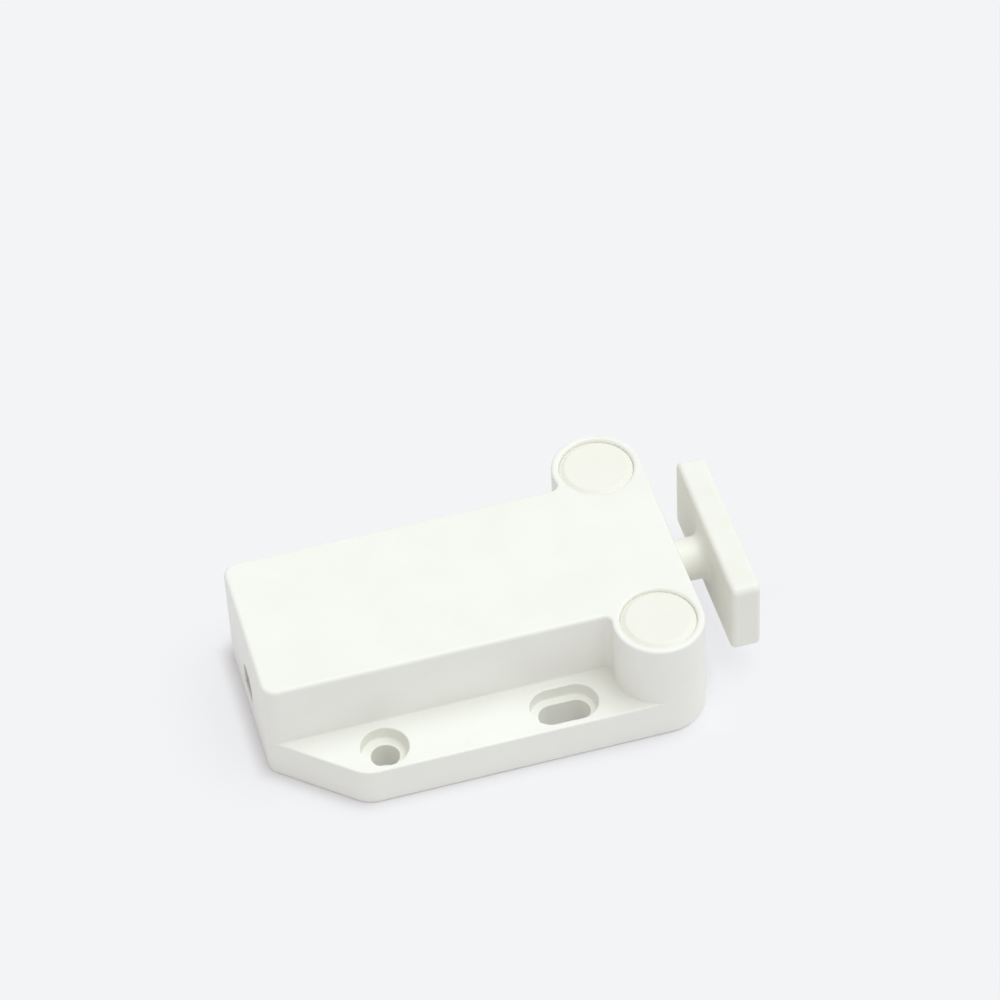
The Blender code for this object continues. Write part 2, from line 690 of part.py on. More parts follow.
def make_slider(finish, parent):
    low = (SLIDER_REAR, -SLIDER_HALF, SLIDER_BOTTOM)
    high = (SLIDER_FRONT, SLIDER_HALF, SLIDER_CREST)
    slider = piece("slider", box(low, high), finish, parent)
    socket = [(STEM_BORE, STEM_END), (STEM_BORE, SLIDER_FRONT + OPEN)]
    cut(slider, piece("socket_cutter", turned_forward(socket, (0, AXIS_HEIGHT))))
    for name, side in SIDES.items():
        bore = [
            (SPRING_BORE, SLIDER_REAR - OPEN),
            (SPRING_BORE, SLIDER_REAR + SPRING_BORE_DEPTH),
        ]
        place = (side * SPRING_OFFSET, AXIS_HEIGHT)
        cut(slider, piece(f"spring_bore_cutter_{name}", turned_forward(bore, place)))
    pin_bore = PIN_DIAMETER / 2 + FIT
    pin_hole = [(pin_bore, pin_bottom() - FIT), (pin_bore, SLIDER_CREST + OPEN)]
    pin = (SLIDER_FRONT - PIN_SETBACK, 0)
    cut(slider, piece("pin_hole_cutter", turned_up(pin_hole, pin, SMALL_SIDES)))
    cut(slider, piece("track_cutter", prism(track_outline(), SLIDER_BOTTOM - OPEN, GROOVE_ROOF)))
    heart = prism(heart_outline(), SLIDER_BOTTOM, GROOVE_ROOF + SINK)
    grow(slider, piece("heart_island", heart))


def pin_bottom():
    """The pin rests on the web between the stem's bore and the cam groove."""
    return AXIS_HEIGHT - STEM_BORE + FIT


def make_stem_pin(finish, parent):
    radius = PIN_DIAMETER / 2
    profile = [(radius, pin_bottom()), (radius, SLIDER_CREST - FIT)]
    pin = (SLIDER_FRONT - PIN_SETBACK, 0)
    piece("stem_pin", turned_up(profile, pin, SMALL_SIDES), finish, parent)


def make_front_buffer(finish):
    """A rubber washer round the stem, behind the front wall, as tall as the slider that strikes it."""
    outer = SLIDER_CREST - AXIS_HEIGHT
    front = BUFFER_REAR + BUFFER_THICKNESS
    ring = turned_forward([(outer, BUFFER_REAR), (outer, front)], (0, AXIS_HEIGHT))
    buffer = piece("front_buffer", ring, finish)
    bore = [(STEM_BORE, BUFFER_REAR - OPEN), (STEM_BORE, front + OPEN)]
    cut(buffer, piece("buffer_cutter", turned_forward(bore, (0, AXIS_HEIGHT))))


# Springs and cam follower


def coil_points(side):
    """A helix about a line along X, with closer turns at both ends."""
    start = CAVITY_REAR + FIT + SPRING_WIRE / 2
    stop = SLIDER_REAR + SPRING_BORE_DEPTH - FIT - SPRING_WIRE / 2
    turns = np.linspace(0, SPRING_COILS, SPRING_COILS * POINTS_PER_COIL + 1)
    end = SPRING_END_COILS * SPRING_END_PITCH
    marks = [0, SPRING_END_COILS, SPRING_COILS - SPRING_END_COILS, SPRING_COILS]
    x = np.interp(turns, marks, [start, start + end, stop - end, stop])
    radius = (SPRING_OUTER - SPRING_WIRE) / 2
    angle = 2 * np.pi * turns
    y = side * (SPRING_OFFSET + radius * np.cos(angle))
    return np.stack([x, y, AXIS_HEIGHT + radius * np.sin(angle)], axis=1)


def coil_gap(points):
    """Least gap between two turns, from the distances between points half a turn or more apart."""
    apart = np.linalg.norm(points[:, None] - points[None], axis=2)
    place = np.arange(len(points))
    other_turn = np.abs(place[:, None] - place[None]) >= POINTS_PER_COIL // 2
    return apart[other_turn].min() - SPRING_WIRE


def make_spring(name, side, finish):
    points = coil_points(side)
    gap = coil_gap(points)
    print(f"ejector_spring_{name}: least gap between turns {gap / MM:.2f} mm")
    if gap <= LEAST_COIL_GAP:
        raise ValueError(f"the turns of ejector_spring_{name} come too close")
    tube(f"ejector_spring_{name}", points, SPRING_WIRE / 2, 1, finish)


def make_rod(name, side, finish):
    """A guide rod from its seat in the rear wall, through the spring and into the slider's bore."""
    stop = SLIDER_REAR + STROKE + ROD_OVERLAP
    radius = ROD_DIAMETER / 2
    profile = [(radius, CAVITY_REAR - ROD_SEAT + FIT), (radius, stop)]
    place = (side * SPRING_OFFSET, AXIS_HEIGHT)
    piece(f"spring_rod_{name}", turned_forward(profile, place, SMALL_SIDES), finish)


def bent_wire(corners, radius):
    """Points of a polyline in the XZ plane whose inner corners are rounded by arcs of four steps."""
    route = [np.array(corners[0])]
    for before, corner, after in zip(corners, corners[1:], corners[2:]):
        corner = np.array(corner)
        back = (np.array(before) - corner) / np.linalg.norm(np.array(before) - corner)
        ahead = (np.array(after) - corner) / np.linalg.norm(np.array(after) - corner)
        middle = corner + radius * (back + ahead)
        for angle in np.linspace(0, math.pi / 2, 5):
            route.append(middle - radius * (ahead * math.cos(angle) + back * math.sin(angle)))
    route.append(np.array(corners[-1]))
    return [(x, 0.0, z) for x, z in route]


def make_follower(finish):
    """A spring wire: a leg down into the plate's boss, a long arm, and a tip up into the cam groove."""
    arm = SLIDER_BOTTOM - FOLLOWER_DROP
    corners = [(ANCHOR_X, FIT * 3), (ANCHOR_X, arm), (TIP_X, arm), (TIP_X, GROOVE_ROOF - FIT)]
    tube("cam_follower", bent_wire(corners, FOLLOWER_BEND), FOLLOWER_WIRE / 2, 2, finish)


def rivet_x():
    return ANCHOR_X + LEAF_START + LEAF_FOOT / 2


def leaf_line():
    """The leaf's middle line in X and Z: a flat foot, a smooth rise to the wire, and a turned-down tip."""
    foot_z = PLATE_THICKNESS + FIT + LEAF_THICKNESS / 2
    crest_z = SLIDER_BOTTOM - FOLLOWER_DROP - FOLLOWER_WIRE / 2 - FIT - LEAF_THICKNESS / 2
    start = ANCHOR_X + LEAF_START
    rise_start = start + LEAF_FOOT
    crest = rise_start + LEAF_RISE_LENGTH
    share = np.linspace(0, 1, LEAF_STATIONS)
    rise = foot_z + (crest_z - foot_z) * share**2 * (3 - 2 * share)
    line = [(start, foot_z)]
    line += list(zip(rise_start + LEAF_RISE_LENGTH * share, rise))
    line.append((crest + LEAF_TIP_LENGTH, crest_z - LEAF_TIP_DROP))
    return line


def make_leaf_spring(finish):
    half = LEAF_THICKNESS / 2
    across = LEAF_WIDTH / 2
    rings = [
        upright(rectangle((-across, z - half), (across, z + half)), x) for x, z in leaf_line()
    ]
    leaf = piece("leaf_spring", loft(rings), finish)
    bore = RIVET_DIAMETER / 2 + FIT
    hole = [(bore, PLATE_THICKNESS - OPEN), (bore, PLATE_THICKNESS + OPEN * 2)]
    cut(leaf, piece("leaf_hole_cutter", turned_up(hole, (rivet_x(), 0), SMALL_SIDES)))


def make_rivet(finish):
    under_head = PLATE_THICKNESS + FIT + LEAF_THICKNESS + FIT
    profile = [
        (RIVET_DIAMETER / 2, FIT * 2),
        (RIVET_DIAMETER / 2, under_head),
        (RIVET_HEAD_DIAMETER / 2, under_head),
        (RIVET_HEAD_DIAMETER / 2, under_head + RIVET_HEAD_HEIGHT),
    ]
    piece("leaf_rivet", turned_up(profile, (rivet_x(), 0), SMALL_SIDES), finish)


def clear_scene():
    for old in list(bpy.data.objects):
        bpy.data.objects.remove(old, do_unlink=True)


def plunger_axis():
    """The empty that carries the plunger's pieces. It lies on the axis that they slide along."""
    axis = bpy.data.objects.new("plunger_axis", None)
    bpy.context.scene.collection.objects.link(axis)
    axis.location = (FRONT_X, 0, AXIS_HEIGHT)
    axis.empty_display_size = STEM_DIAMETER
    bpy.context.view_layer.update()
    return axis


def main():
    clear_scene()
    white = material("white_plastic", (0.86, 0.88, 0.85), 0.42)
    cap_white = material("cap_plastic", (0.83, 0.83, 0.79), 0.5)
    slider_grey = material("slider_plastic", (0.55, 0.56, 0.55), 0.38)
    steel = material("bright_steel", (0.62, 0.62, 0.63), 0.25, 1.0)
    spring_steel = material("spring_steel", (0.45, 0.45, 0.46), 0.3, 1.0)
    ferrite = material("magnet_ferrite", (0.05, 0.05, 0.055), 0.55)
    rubber = material("black_rubber", (0.03, 0.03, 0.03), 0.8)

    make_housing(white)
    make_base_plate(white)
    make_front_buffer(rubber)
    make_follower(spring_steel)
    make_leaf_spring(spring_steel)
    make_rivet(steel)
    for name, side in SIDES.items():
        make_cap(name, side, cap_white)
        make_post_screw(name, side, steel)
        make_spring(name, side, spring_steel)
        make_rod(name, side, steel)

    axis = plunger_axis()
    make_t_head(white, axis)
    make_magnet_pack(ferrite, steel, axis)
    make_slider(slider_grey, axis)
    make_stem_pin(steel, axis)


main()
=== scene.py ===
"""Looks of a push-to-open touch latch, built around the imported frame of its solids.

Metres. +X is the way the plunger comes out, +Z is away from the mounting face.
A piece is made of grids of points worked out with numpy: an outline carried along an edge profile,
a turned line, or a round wire along a line. Flat stretches between the grids are filled, and the
patches are welded into one closed mesh.
"""

import json
import math
from collections import defaultdict
from functools import partial, reduce
from typing import NamedTuple

import bmesh
import bpy
import numpy as np
from bpy.props import FloatProperty, FloatVectorProperty, IntProperty, PointerProperty
from mathutils import Matrix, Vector
from mathutils.geometry import delaunay_2d_cdt


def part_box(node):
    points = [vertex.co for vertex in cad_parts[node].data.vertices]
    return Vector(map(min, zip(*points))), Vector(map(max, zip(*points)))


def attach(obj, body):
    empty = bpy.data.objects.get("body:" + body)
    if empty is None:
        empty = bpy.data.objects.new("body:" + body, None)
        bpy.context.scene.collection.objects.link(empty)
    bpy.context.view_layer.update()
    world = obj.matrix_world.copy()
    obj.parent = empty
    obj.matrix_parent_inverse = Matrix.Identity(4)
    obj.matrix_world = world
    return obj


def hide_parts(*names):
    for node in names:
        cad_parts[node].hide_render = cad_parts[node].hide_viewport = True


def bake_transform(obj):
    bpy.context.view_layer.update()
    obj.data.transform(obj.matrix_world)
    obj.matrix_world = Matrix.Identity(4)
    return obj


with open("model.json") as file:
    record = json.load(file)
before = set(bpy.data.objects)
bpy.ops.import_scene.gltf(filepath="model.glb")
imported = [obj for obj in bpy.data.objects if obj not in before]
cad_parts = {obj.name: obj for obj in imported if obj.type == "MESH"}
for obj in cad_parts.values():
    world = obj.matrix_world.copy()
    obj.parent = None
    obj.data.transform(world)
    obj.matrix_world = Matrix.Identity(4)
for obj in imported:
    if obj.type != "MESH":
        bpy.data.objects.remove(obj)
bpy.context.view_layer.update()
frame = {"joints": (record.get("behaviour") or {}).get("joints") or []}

bl_info = {
    "name": "Touch Latch",
    "version": (1, 0, 0),
    "blender": (4, 5, 0),
    "location": "3D View > Sidebar > Touch Latch",
    "description": "Dresses the solids of a push-to-open touch latch and sets its stage",
    "category": "Object",
}

MM = 0.001
QUARTER = math.pi / 2
HALF_TURN = math.pi
FULL_TURN = 2 * math.pi
FLIP = np.array([1, -1])  # turns a point of a plane over to the other side
SIDES = {"left": 1, "right": -1}

# Fineness of the surfaces
ARC_STEP = math.radians(4)
BEND_STEP = 3 * ARC_STEP
EDGE_STEPS = 6
EDGE_ROWS = EDGE_STEPS + 3  # a rounded edge's rows, with its two lands
LAND = 0.08 * MM  # flat strip beside each rounding, which keeps the shading of the flats clean
LEAST_FLAT = 3 * LAND  # shorter stretches get no lands
END_STEP = 1.0 * MM  # between places along the housing's front and rear edges
WELD = 0.001 * MM
FILL_MERGE = 1e-4  # in millimetres
ENCLOSED = 1  # the triangulation's mode that drops what lies outside all edges
CREASE = math.radians(35)
WIRE_SIDES = 16
POINTS_PER_COIL = 40
END_TURNS = (1.0, 2.2)  # turns over which a spring's pitch opens, counted from each end
LEAF_STEPS = 24  # along the leaf spring's rise, and along its tip
FLAT_STEPS = 48  # across the flat of a screw's head
SHANK_STEPS = 110  # down a screw's shank
SCREW_SIDES = 96
PIERCED_HALF = 2.0  # half the width of the band round the pin's hole, in radii of that hole
PIERCED_STEPS = 12  # along each side of that band
PIERCED_ROWS = 16  # from the band's border to the hole


# Places taken from the frame


class Box(NamedTuple):
    """Lowest and highest corner of a node."""

    low: np.ndarray
    high: np.ndarray

    @property
    def middle(self):
        return (self.low + self.high) / 2

    @property
    def size(self):
        return self.high - self.low


def box_of(node):
    """The box of one of the frame's nodes, at rest."""
    low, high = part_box(node)
    return Box(np.array(low, float), np.array(high, float))


HOUSING = box_of("housing")
HEAD = box_of("t_head")
SLIDER = box_of("slider")
CAPS = {name: box_of(f"post_cap_{name}") for name in SIDES}
SPRINGS = {name: box_of(f"ejector_spring_{name}") for name in SIDES}
FOLLOWER = box_of("cam_follower")
MAGNET = box_of("magnet")
POLES = {name: box_of(f"pole_plate_{name}") for name in ("upper", "lower")}
RIVET = box_of("leaf_rivet")
LEAF = box_of("leaf_spring")
PIN = box_of("stem_pin")
BUFFER = box_of("front_buffer")
RODS = {name: box_of(f"spring_rod_{name}") for name in SIDES}
SCREWS = {name: box_of(f"post_screw_{name}") for name in SIDES}

FRONT_X = HOUSING.high[0]
REAR_X = HOUSING.low[0]
TOP_Z = HOUSING.high[2]
POST = CAPS["left"].middle[:2]
POST_RADIUS = FRONT_X - POST[0]
FLANGE_HALF = POST[1] + POST_RADIUS
AXIS_Z = HEAD.middle[2]
AXIS = np.array([0.0, AXIS_Z])
WIRE_TIP = FOLLOWER.high[0] - FOLLOWER.size[1] / 2
SLIDE = frame["joints"][0]["range_m"]


# Settings


def length(name, description, metres):
    """A length property, in metres."""
    return FloatProperty(
        name=name,
        description=description,
        default=metres,
        min=0.0,
        precision=5,
        subtype="DISTANCE",
        unit="LENGTH",
    )


def spot(name, description, metres):
    """A place along an axis, in metres, which may be negative."""
    return FloatProperty(
        name=name, description=description, default=metres, precision=5, subtype="DISTANCE", unit="LENGTH"
    )


def colour(name, description, value):
    """A colour property, in linear red, green and blue."""
    return FloatVectorProperty(
        name=name, description=description, default=value, size=3, min=0.0, max=1.0, subtype="COLOR"
    )


def share(name, description, value):
    """A property from 0 to 1."""
    return FloatProperty(
        name=name, description=description, default=value, min=0.0, max=1.0, subtype="FACTOR"
    )


def angle(name, description, degrees):
    """An angle property, whose default is given in degrees."""
    return FloatProperty(
        name=name,
        description=description,
        default=math.radians(degrees),
        subtype="ANGLE",
        unit="ROTATION",
    )


class HousingSizes(bpy.types.PropertyGroup):
    """Sizes of the moulded housing that its box doesn't give."""

    block_width: length("Block width", "Side to side of the middle block", 31.4 * MM)
    block_corner: length("Block corner", "Radius of the block's rear corners", 2.5 * MM)
    flange_height: length("Flange height", "Mounting face to the flanges' tops", 8.0 * MM)
    flange_corner: length("Flange corner", "Radius where a flange's side turns into its slope", 6.0 * MM)
    slope_run: length("Slope run", "Rear face to where a slope would meet its flange's side", 14.4 * MM)
    top_edge: length("Top edge", "Radius of the block's top edge", 0.7 * MM)
    post_edge: length("Post edge", "Radius of the posts' top edge", 0.5 * MM)
    flange_edge: length("Flange edge", "Radius of the flanges' top edge", 0.3 * MM)
    lower_edge: length("Lower edge", "Radius of the edge on the mounting face", 0.5 * MM)
    foot: length("Foot fillet", "Radius between the flanges' tops and the walls above", 0.3 * MM)
    hollow: length("Post hollow", "Radius of the hollow corner between post and block", 1.3 * MM)
    wall: length("Wall", "Thickness of the side and rear walls", 2.2 * MM)
    front_wall: length("Front wall", "Thickness of the front wall", 3.2 * MM)
    roof: length("Roof", "Thickness over the cavity", 2.4 * MM)
    lip: length("Lip", "Radius of the edges of holes", 0.25 * MM)
    bore_gap: length("Bore gap", "Room round the plunger's stem and the rods' ends", 0.3 * MM)
    window_width: length("Window width", "Width of the arched window in the rear wall", 6.0 * MM)
    window_height: length("Window height", "Sill to crown of the rear window", 6.4 * MM)
    window_sill: length("Window sill", "Mounting face to the window's sill", 4.6 * MM)
    window_corner: length("Window corner", "Radius of the window's lower corners", 0.5 * MM)


class HoleSizes(bpy.types.PropertyGroup):
    """Sizes of the mounting holes, their counterbores and the hollows between them."""

    pitch: length("Pitch", "Round hole to slot", 32.0 * MM)
    edge: length("Edge distance", "Hole centre to the flange's outer edge", 5.2 * MM)
    diameter: length("Hole diameter", "Diameter of the screw's hole", 5.0 * MM)
    counterbore: length("Counterbore", "Diameter of the counterbore", 8.4 * MM)
    depth: length("Counterbore depth", "Flange's top to the screw's seat", 2.5 * MM)
    travel: length("Slot travel", "How far a screw can shift in its slot", 4.2 * MM)
    slot_counterbore: length("Slot counterbore", "Width of the counterbore across the slot", 7.9 * MM)
    lip: length("Hole lip", "Edge radius of the screws' holes at their seats", 0.12 * MM)
    seat_fillet: length("Seat fillet", "Radius round the counterbore's floor", 0.3 * MM)
    core_wall: length("Core wall", "Plastic left around the hollows underneath", 1.9 * MM)
    core_roof: length("Core roof", "Plastic left over the hollows underneath", 2.2 * MM)
    core_corner: length("Core corner", "Corner radius of the hollows underneath", 0.8 * MM)


class PostSizes(bpy.types.PropertyGroup):
    """Sizes of the posts' bores and of the caps that close them."""

    cap_bore: length("Cap bore", "Diameter of the seat that a cap lies in", 13.3 * MM)
    cap_gap: length("Cap gap", "Room round a cap", 0.02 * MM)
    cap_thickness: length("Cap thickness", "Thickness of a cap's disc", 2.2 * MM)
    cap_bevel: length("Cap bevel", "Width of the bevel round a cap's top", 1.0 * MM)
    cap_drop: length("Cap drop", "How deep that bevel goes", 0.6 * MM)
    cap_edge: length("Cap edge", "Edge radius of a cap's top and of its plug's end", 0.5 * MM)
    plug_edge: length("Plug edge", "Edge radius of the plug under a cap", 0.15 * MM)
    seat_gap: length("Seat gap", "Room under a cap's disc", 0.3 * MM)
    seat_lip: length("Seat lip", "Edge radius of the seat that a cap lies in", 0.5 * MM)
    spigot: length("Spigot", "Diameter of the plug under a cap", 6.9 * MM)
    well: length("Well", "Diameter of the well for the screw's head", 7.5 * MM)
    web_top: length("Web top", "Mounting face to the web under the screw's head", 12.0 * MM)
    web: length("Web", "Thickness of the web that the screw clamps", 2.7 * MM)
    screw_bore: length("Screw bore", "Diameter of the screw's hole in the web", 3.6 * MM)
    boss_bore: length("Boss bore", "Diameter of the hole for the base plate's boss", 7.8 * MM)


class PlateSizes(bpy.types.PropertyGroup):
    """Sizes of the base plate."""

    thickness: length("Thickness", "Thickness of the plate", 2.0 * MM)
    gap: length("Gap", "Room round the plate", 0.3 * MM)
    edge: length("Edge", "Radius of the plate's edges", 0.25 * MM)
    corner: length("Corner", "Radius of the plate's corners", 0.4 * MM)
    fillet: length("Fillet", "Radius round the feet of rails and bosses", 0.15 * MM)
    wing: length("Wing", "Radius of the round wing under each post", 5.6 * MM)
    boss: length("Boss", "Diameter of a screw boss", 7.2 * MM)
    boss_height: length("Boss height", "Height of a screw boss over the plate", 7.0 * MM)
    pilot: length("Pilot", "Diameter of a screw boss's bore", 3.6 * MM)
    tongue_width: length("Tongue width", "Width of the tongues in the rear wall", 5.0 * MM)
    tongue_thickness: length("Tongue thickness", "Thickness of those tongues", 0.9 * MM)
    tongue_length: length("Tongue length", "How far those tongues stand out", 1.4 * MM)
    tongue_height: length("Tongue height", "Mounting face to those tongues' undersides", 0.7 * MM)
    rail_width: length("Rail width", "Width of a runner rail", 2.0 * MM)
    rail_top: length("Rail top", "Mounting face to the runner rails' tops", 6.0 * MM)
    follower_boss: length("Follower boss", "Diameter of the cam follower's boss", 5.0 * MM)
    follower_boss_top: length("Follower boss top", "Mounting face to that boss's top", 4.0 * MM)
    leg_bore: length("Leg bore", "Diameter of the bore for the follower's leg", 1.8 * MM)
    mark: length("Ejector mark", "Diameter of the round moulding marks underneath", 5.0 * MM)
    mark_depth: length("Mark depth", "Depth of the moulding marks", 0.12 * MM)
    mark_front: spot("Front mark", "Place of the front moulding mark along X", 27.0 * MM)
    mark_rear: spot("Rear mark", "Place of the rear moulding mark along X", -27.0 * MM)
    rivet_bore: length("Rivet bore", "Diameter of the leaf spring's rivet hole", 2.6 * MM)


class PlungerSizes(bpy.types.PropertyGroup):
    """Sizes of the cross bar, its stem and the magnet pack."""

    bar_thickness: length("Bar thickness", "Back to front of the cross bar", 5.25 * MM)
    bar_corner: length("Bar corner", "Radius of the bar's four corners", 1.4 * MM)
    bar_edge: length("Bar edge", "Radius of the bar's edges", 0.9 * MM)
    stem: length("Stem", "Diameter of the stem", 7.7 * MM)
    stem_root: length("Stem root", "Radius of the hollow where the stem meets the bar", 1.6 * MM)
    stem_end: length("Stem end", "Radius of the stem's inner end", 0.6 * MM)
    pocket_gap: length("Pocket gap", "Room round the magnet pack", 0.3 * MM)
    pocket_corner: length("Pocket corner", "Radius of the pocket's corners", 0.5 * MM)
    pack_edge: length("Pack edge", "Edge radius of the magnet and its pole plates", 0.15 * MM)
    pack_corner: length("Pack corner", "Corner radius of the magnet and its pole plates", 0.3 * MM)


class SpringSizes(bpy.types.PropertyGroup):
    """Sizes of the ejector springs and of the cam follower's wire."""

    wire: length("Spring wire", "Diameter of the ejector springs' wire", 0.9 * MM)
    coils: IntProperty(
        name="Coils", description="Turns in each ejector spring", default=15, min=4, max=40
    )
    end_pitch: length("End pitch", "Pitch of the close turns at a spring's ends", 1.5 * MM)
    bend: length("Follower bend", "Bend radius of the cam follower's wire", 1.2 * MM)
    follower_arm: length("Follower arm", "Mounting face to the follower's long arm", 4.9 * MM)


class SliderSizes(bpy.types.PropertyGroup):
    """Sizes of the slider and of the cam groove in its underside."""

    corner: length("Corner", "Radius of the slider's upright corners", 0.6 * MM)
    edge: length("Edge", "Radius of the slider's other edges", 0.35 * MM)
    lip: length("Lip", "Edge radius of the bores", 0.2 * MM)
    gap: length("Gap", "Room round the stem, the springs, the pin and the wire", 0.3 * MM)
    groove: length("Groove depth", "Depth of the cam groove", 1.5 * MM)
    lane: length("Lane", "Width of the groove beside the heart", 1.9 * MM)
    heart_width: length("Heart width", "Side to side of the heart-shaped island", 4.4 * MM)
    heart_length: length("Heart length", "Latched wire to the heart's point", 12.0 * MM)
    notch: length("Notch", "Depth of the notch that holds the wire", 1.5 * MM)
    tooth: length("Tooth", "Steps in the groove's front end", 1.0 * MM)
    cam_corner: length("Cam corner", "Corner radius of the groove and the heart", 0.3 * MM)
    cam_lip: length("Cam lip", "Edge radius of the groove and the heart", 0.12 * MM)


class HardwareSizes(bpy.types.PropertyGroup):
    """Sizes of the pin, the rods, the rivet, the buffer and the leaf spring."""

    pin_edge: length("Pin edge", "Edge radius of the stem's pin", 0.3 * MM)
    rod_edge: length("Rod edge", "Edge radius of the guide rods", 0.7 * MM)
    rivet_shank: length("Rivet shank", "Diameter of the rivet's shank", 2.0 * MM)
    rivet_head: length("Rivet head", "Height of the rivet's head", 0.6 * MM)
    rivet_dome: length("Rivet dome", "Radius round the top of the rivet's head", 0.45 * MM)
    rivet_edge: length("Rivet edge", "Radius of the rivet's other edges", 0.05 * MM)
    buffer_edge: length("Buffer edge", "Edge radius of the rubber buffer", 0.35 * MM)
    leaf_thickness: length("Leaf thickness", "Thickness of the leaf spring", 0.4 * MM)
    leaf_foot: length("Leaf foot", "Length of the leaf spring's flat foot", 7.0 * MM)
    leaf_rise: length("Leaf rise", "Length of the leaf spring's rise", 12.0 * MM)
    leaf_drop: length("Leaf drop", "How far the leaf spring's tip turns down", 0.6 * MM)
    leaf_edge: length("Leaf edge", "Edge radius of the leaf spring", 0.1 * MM)
    leaf_corner: length("Leaf corner", "Corner radius of the leaf spring's foot", 1.0 * MM)


class ScrewSizes(bpy.types.PropertyGroup):
    """Sizes of the case screws."""

    shank: length("Shank", "Diameter of the shank over its thread", 3.0 * MM)
    head_height: length("Head height", "Height of the head", 2.4 * MM)
    crown: length("Crown", "Height of the head's conical crown", 0.9 * MM)
    flat: length("Flat", "Diameter of the flat on the head", 4.6 * MM)
    edge: length("Edge", "Width left for the rounded edges", 0.3 * MM)
    rounding: length("Rounding", "Radius of the rounded edges", 0.1 * MM)
    point: length("Point", "Length of the tapered point", 1.5 * MM)
    neck: length("Neck", "Length of the plain shank under the head", 3.0 * MM)
    pitch: length("Pitch", "Pitch of the thread", 1.1 * MM)
    thread: length("Thread", "Depth of the thread", 0.35 * MM)
    cross_length: length("Cross length", "Length of the cross recess's arms, tip to tip", 3.6 * MM)
    cross_width: length("Cross width", "Width of the cross recess's arms", 0.9 * MM)
    cross_depth: length("Cross depth", "Depth of the cross recess", 1.2 * MM)
    cross_draft: length("Cross draft", "How far the walls of the cross recess lean in", 0.2 * MM)


class Finishes(bpy.types.PropertyGroup):
    """Colours of the materials."""

    white: colour("White plastic", "Housing and base plate", (0.935, 0.925, 0.872))
    white_shade: colour("White plastic shade", "Its cloudy variation", (0.915, 0.902, 0.842))
    bar: colour("Bar plastic", "Cross bar and stem", (0.918, 0.903, 0.84))
    bar_shade: colour("Bar plastic shade", "Its cloudy variation", (0.898, 0.88, 0.81))
    cap: colour("Cap plastic", "Post caps", (0.918, 0.896, 0.822))
    cap_shade: colour("Cap plastic shade", "Its cloudy variation", (0.9, 0.872, 0.79))
    slider: colour("Slider plastic", "Slider inside the housing", (0.6, 0.61, 0.59))
    slider_shade: colour("Slider plastic shade", "Its cloudy variation", (0.572, 0.582, 0.562))
    steel: colour("Bright steel", "Zinc-plated screws, pins, rods and plates", (0.68, 0.69, 0.7))
    steel_shade: colour("Bright steel shade", "Duller patches of the zinc", (0.56, 0.575, 0.6))
    spring: colour("Spring steel", "Springs and the follower", (0.46, 0.45, 0.44))
    spring_shade: colour("Spring steel shade", "Oil-darkened patches", (0.4, 0.39, 0.38))
    ferrite: colour("Ferrite", "Magnet", (0.06, 0.06, 0.065))
    ferrite_shade: colour("Ferrite shade", "Pores of the magnet", (0.025, 0.025, 0.028))
    rubber: colour("Rubber", "Front buffer", (0.035, 0.035, 0.035))
    rubber_shade: colour("Rubber shade", "Dusty bloom on the buffer", (0.06, 0.06, 0.058))


class StageSettings(bpy.types.PropertyGroup):
    """Floor, lamps and camera."""

    floor: colour("Floor", "Colour of the floor where it is seen", (0.896, 0.905, 0.922))
    bounce: colour("Bounce", "Colour of the floor where it lights the part", (0.83, 0.81, 0.85))
    floor_half: length("Floor half size", "Middle of the floor to its edge", 3.0)
    floor_drop: length("Floor drop", "How far the floor lies under the part", 0.02 * MM)
    contact: share("Contact shadow", "Strength of the shadow along the housing's foot", 0.9)
    shadow: share("Shadow", "Strength of the shadow farther away", 0.22)
    contact_reach: length("Contact reach", "How far the strong shadow reaches from the foot", 3.5 * MM)
    sky: share("Sky strength", "Even light from all round", 0.62)
    sky_tint: colour("Sky tint", "Colour of the even light", (1.0, 1.0, 1.0))
    key: FloatProperty(name="Key strength", description="Main lamp", default=1.45, min=0.0)
    key_tint: colour("Key tint", "Colour of the main lamp", (0.906, 1.0, 1.0))
    key_spread: angle("Key spread", "How wide the main lamp is, seen from the part", 50)
    key_turn: angle("Key turn", "Direction of the main lamp, from +X towards +Y", -3)
    key_height: angle("Key height", "Height of the main lamp over the horizon", 70)
    lens: FloatProperty(
        name="Lens", description="Focal length", default=159.03, min=1.0, subtype="DISTANCE_CAMERA"
    )
    sensor: FloatProperty(
        name="Sensor", description="Sensor width", default=36.0, min=1.0, subtype="DISTANCE_CAMERA"
    )
    distance: length("Distance", "Camera to its target", 792.1 * MM)
    target: FloatVectorProperty(
        name="Target",
        description="Point in the middle of the picture",
        default=(18.043 * MM, 26.311 * MM, 10.13 * MM),
        size=3,
        precision=5,
        subtype="TRANSLATION",
        unit="LENGTH",
    )
    turn: angle("Camera turn", "Camera's azimuth, 0 looking along +Y", -13.483)
    height: angle("Camera height", "Camera's elevation over the horizon", 46.641)
    roll: angle("Camera roll", "Turn about the line of sight", -3.003)


class LatchSettings(bpy.types.PropertyGroup):
    """All the settings of the latch."""

    housing: PointerProperty(type=HousingSizes)
    holes: PointerProperty(type=HoleSizes)
    posts: PointerProperty(type=PostSizes)
    plate: PointerProperty(type=PlateSizes)
    plunger: PointerProperty(type=PlungerSizes)
    springs: PointerProperty(type=SpringSizes)
    slider: PointerProperty(type=SliderSizes)
    hardware: PointerProperty(type=HardwareSizes)
    screws: PointerProperty(type=ScrewSizes)
    finishes: PointerProperty(type=Finishes)
    stage: PointerProperty(type=StageSettings)


# Outlines


class Outline(NamedTuple):
    """Points in a plane, with the unit normal at each that points away from the material."""

    points: np.ndarray
    normals: np.ndarray


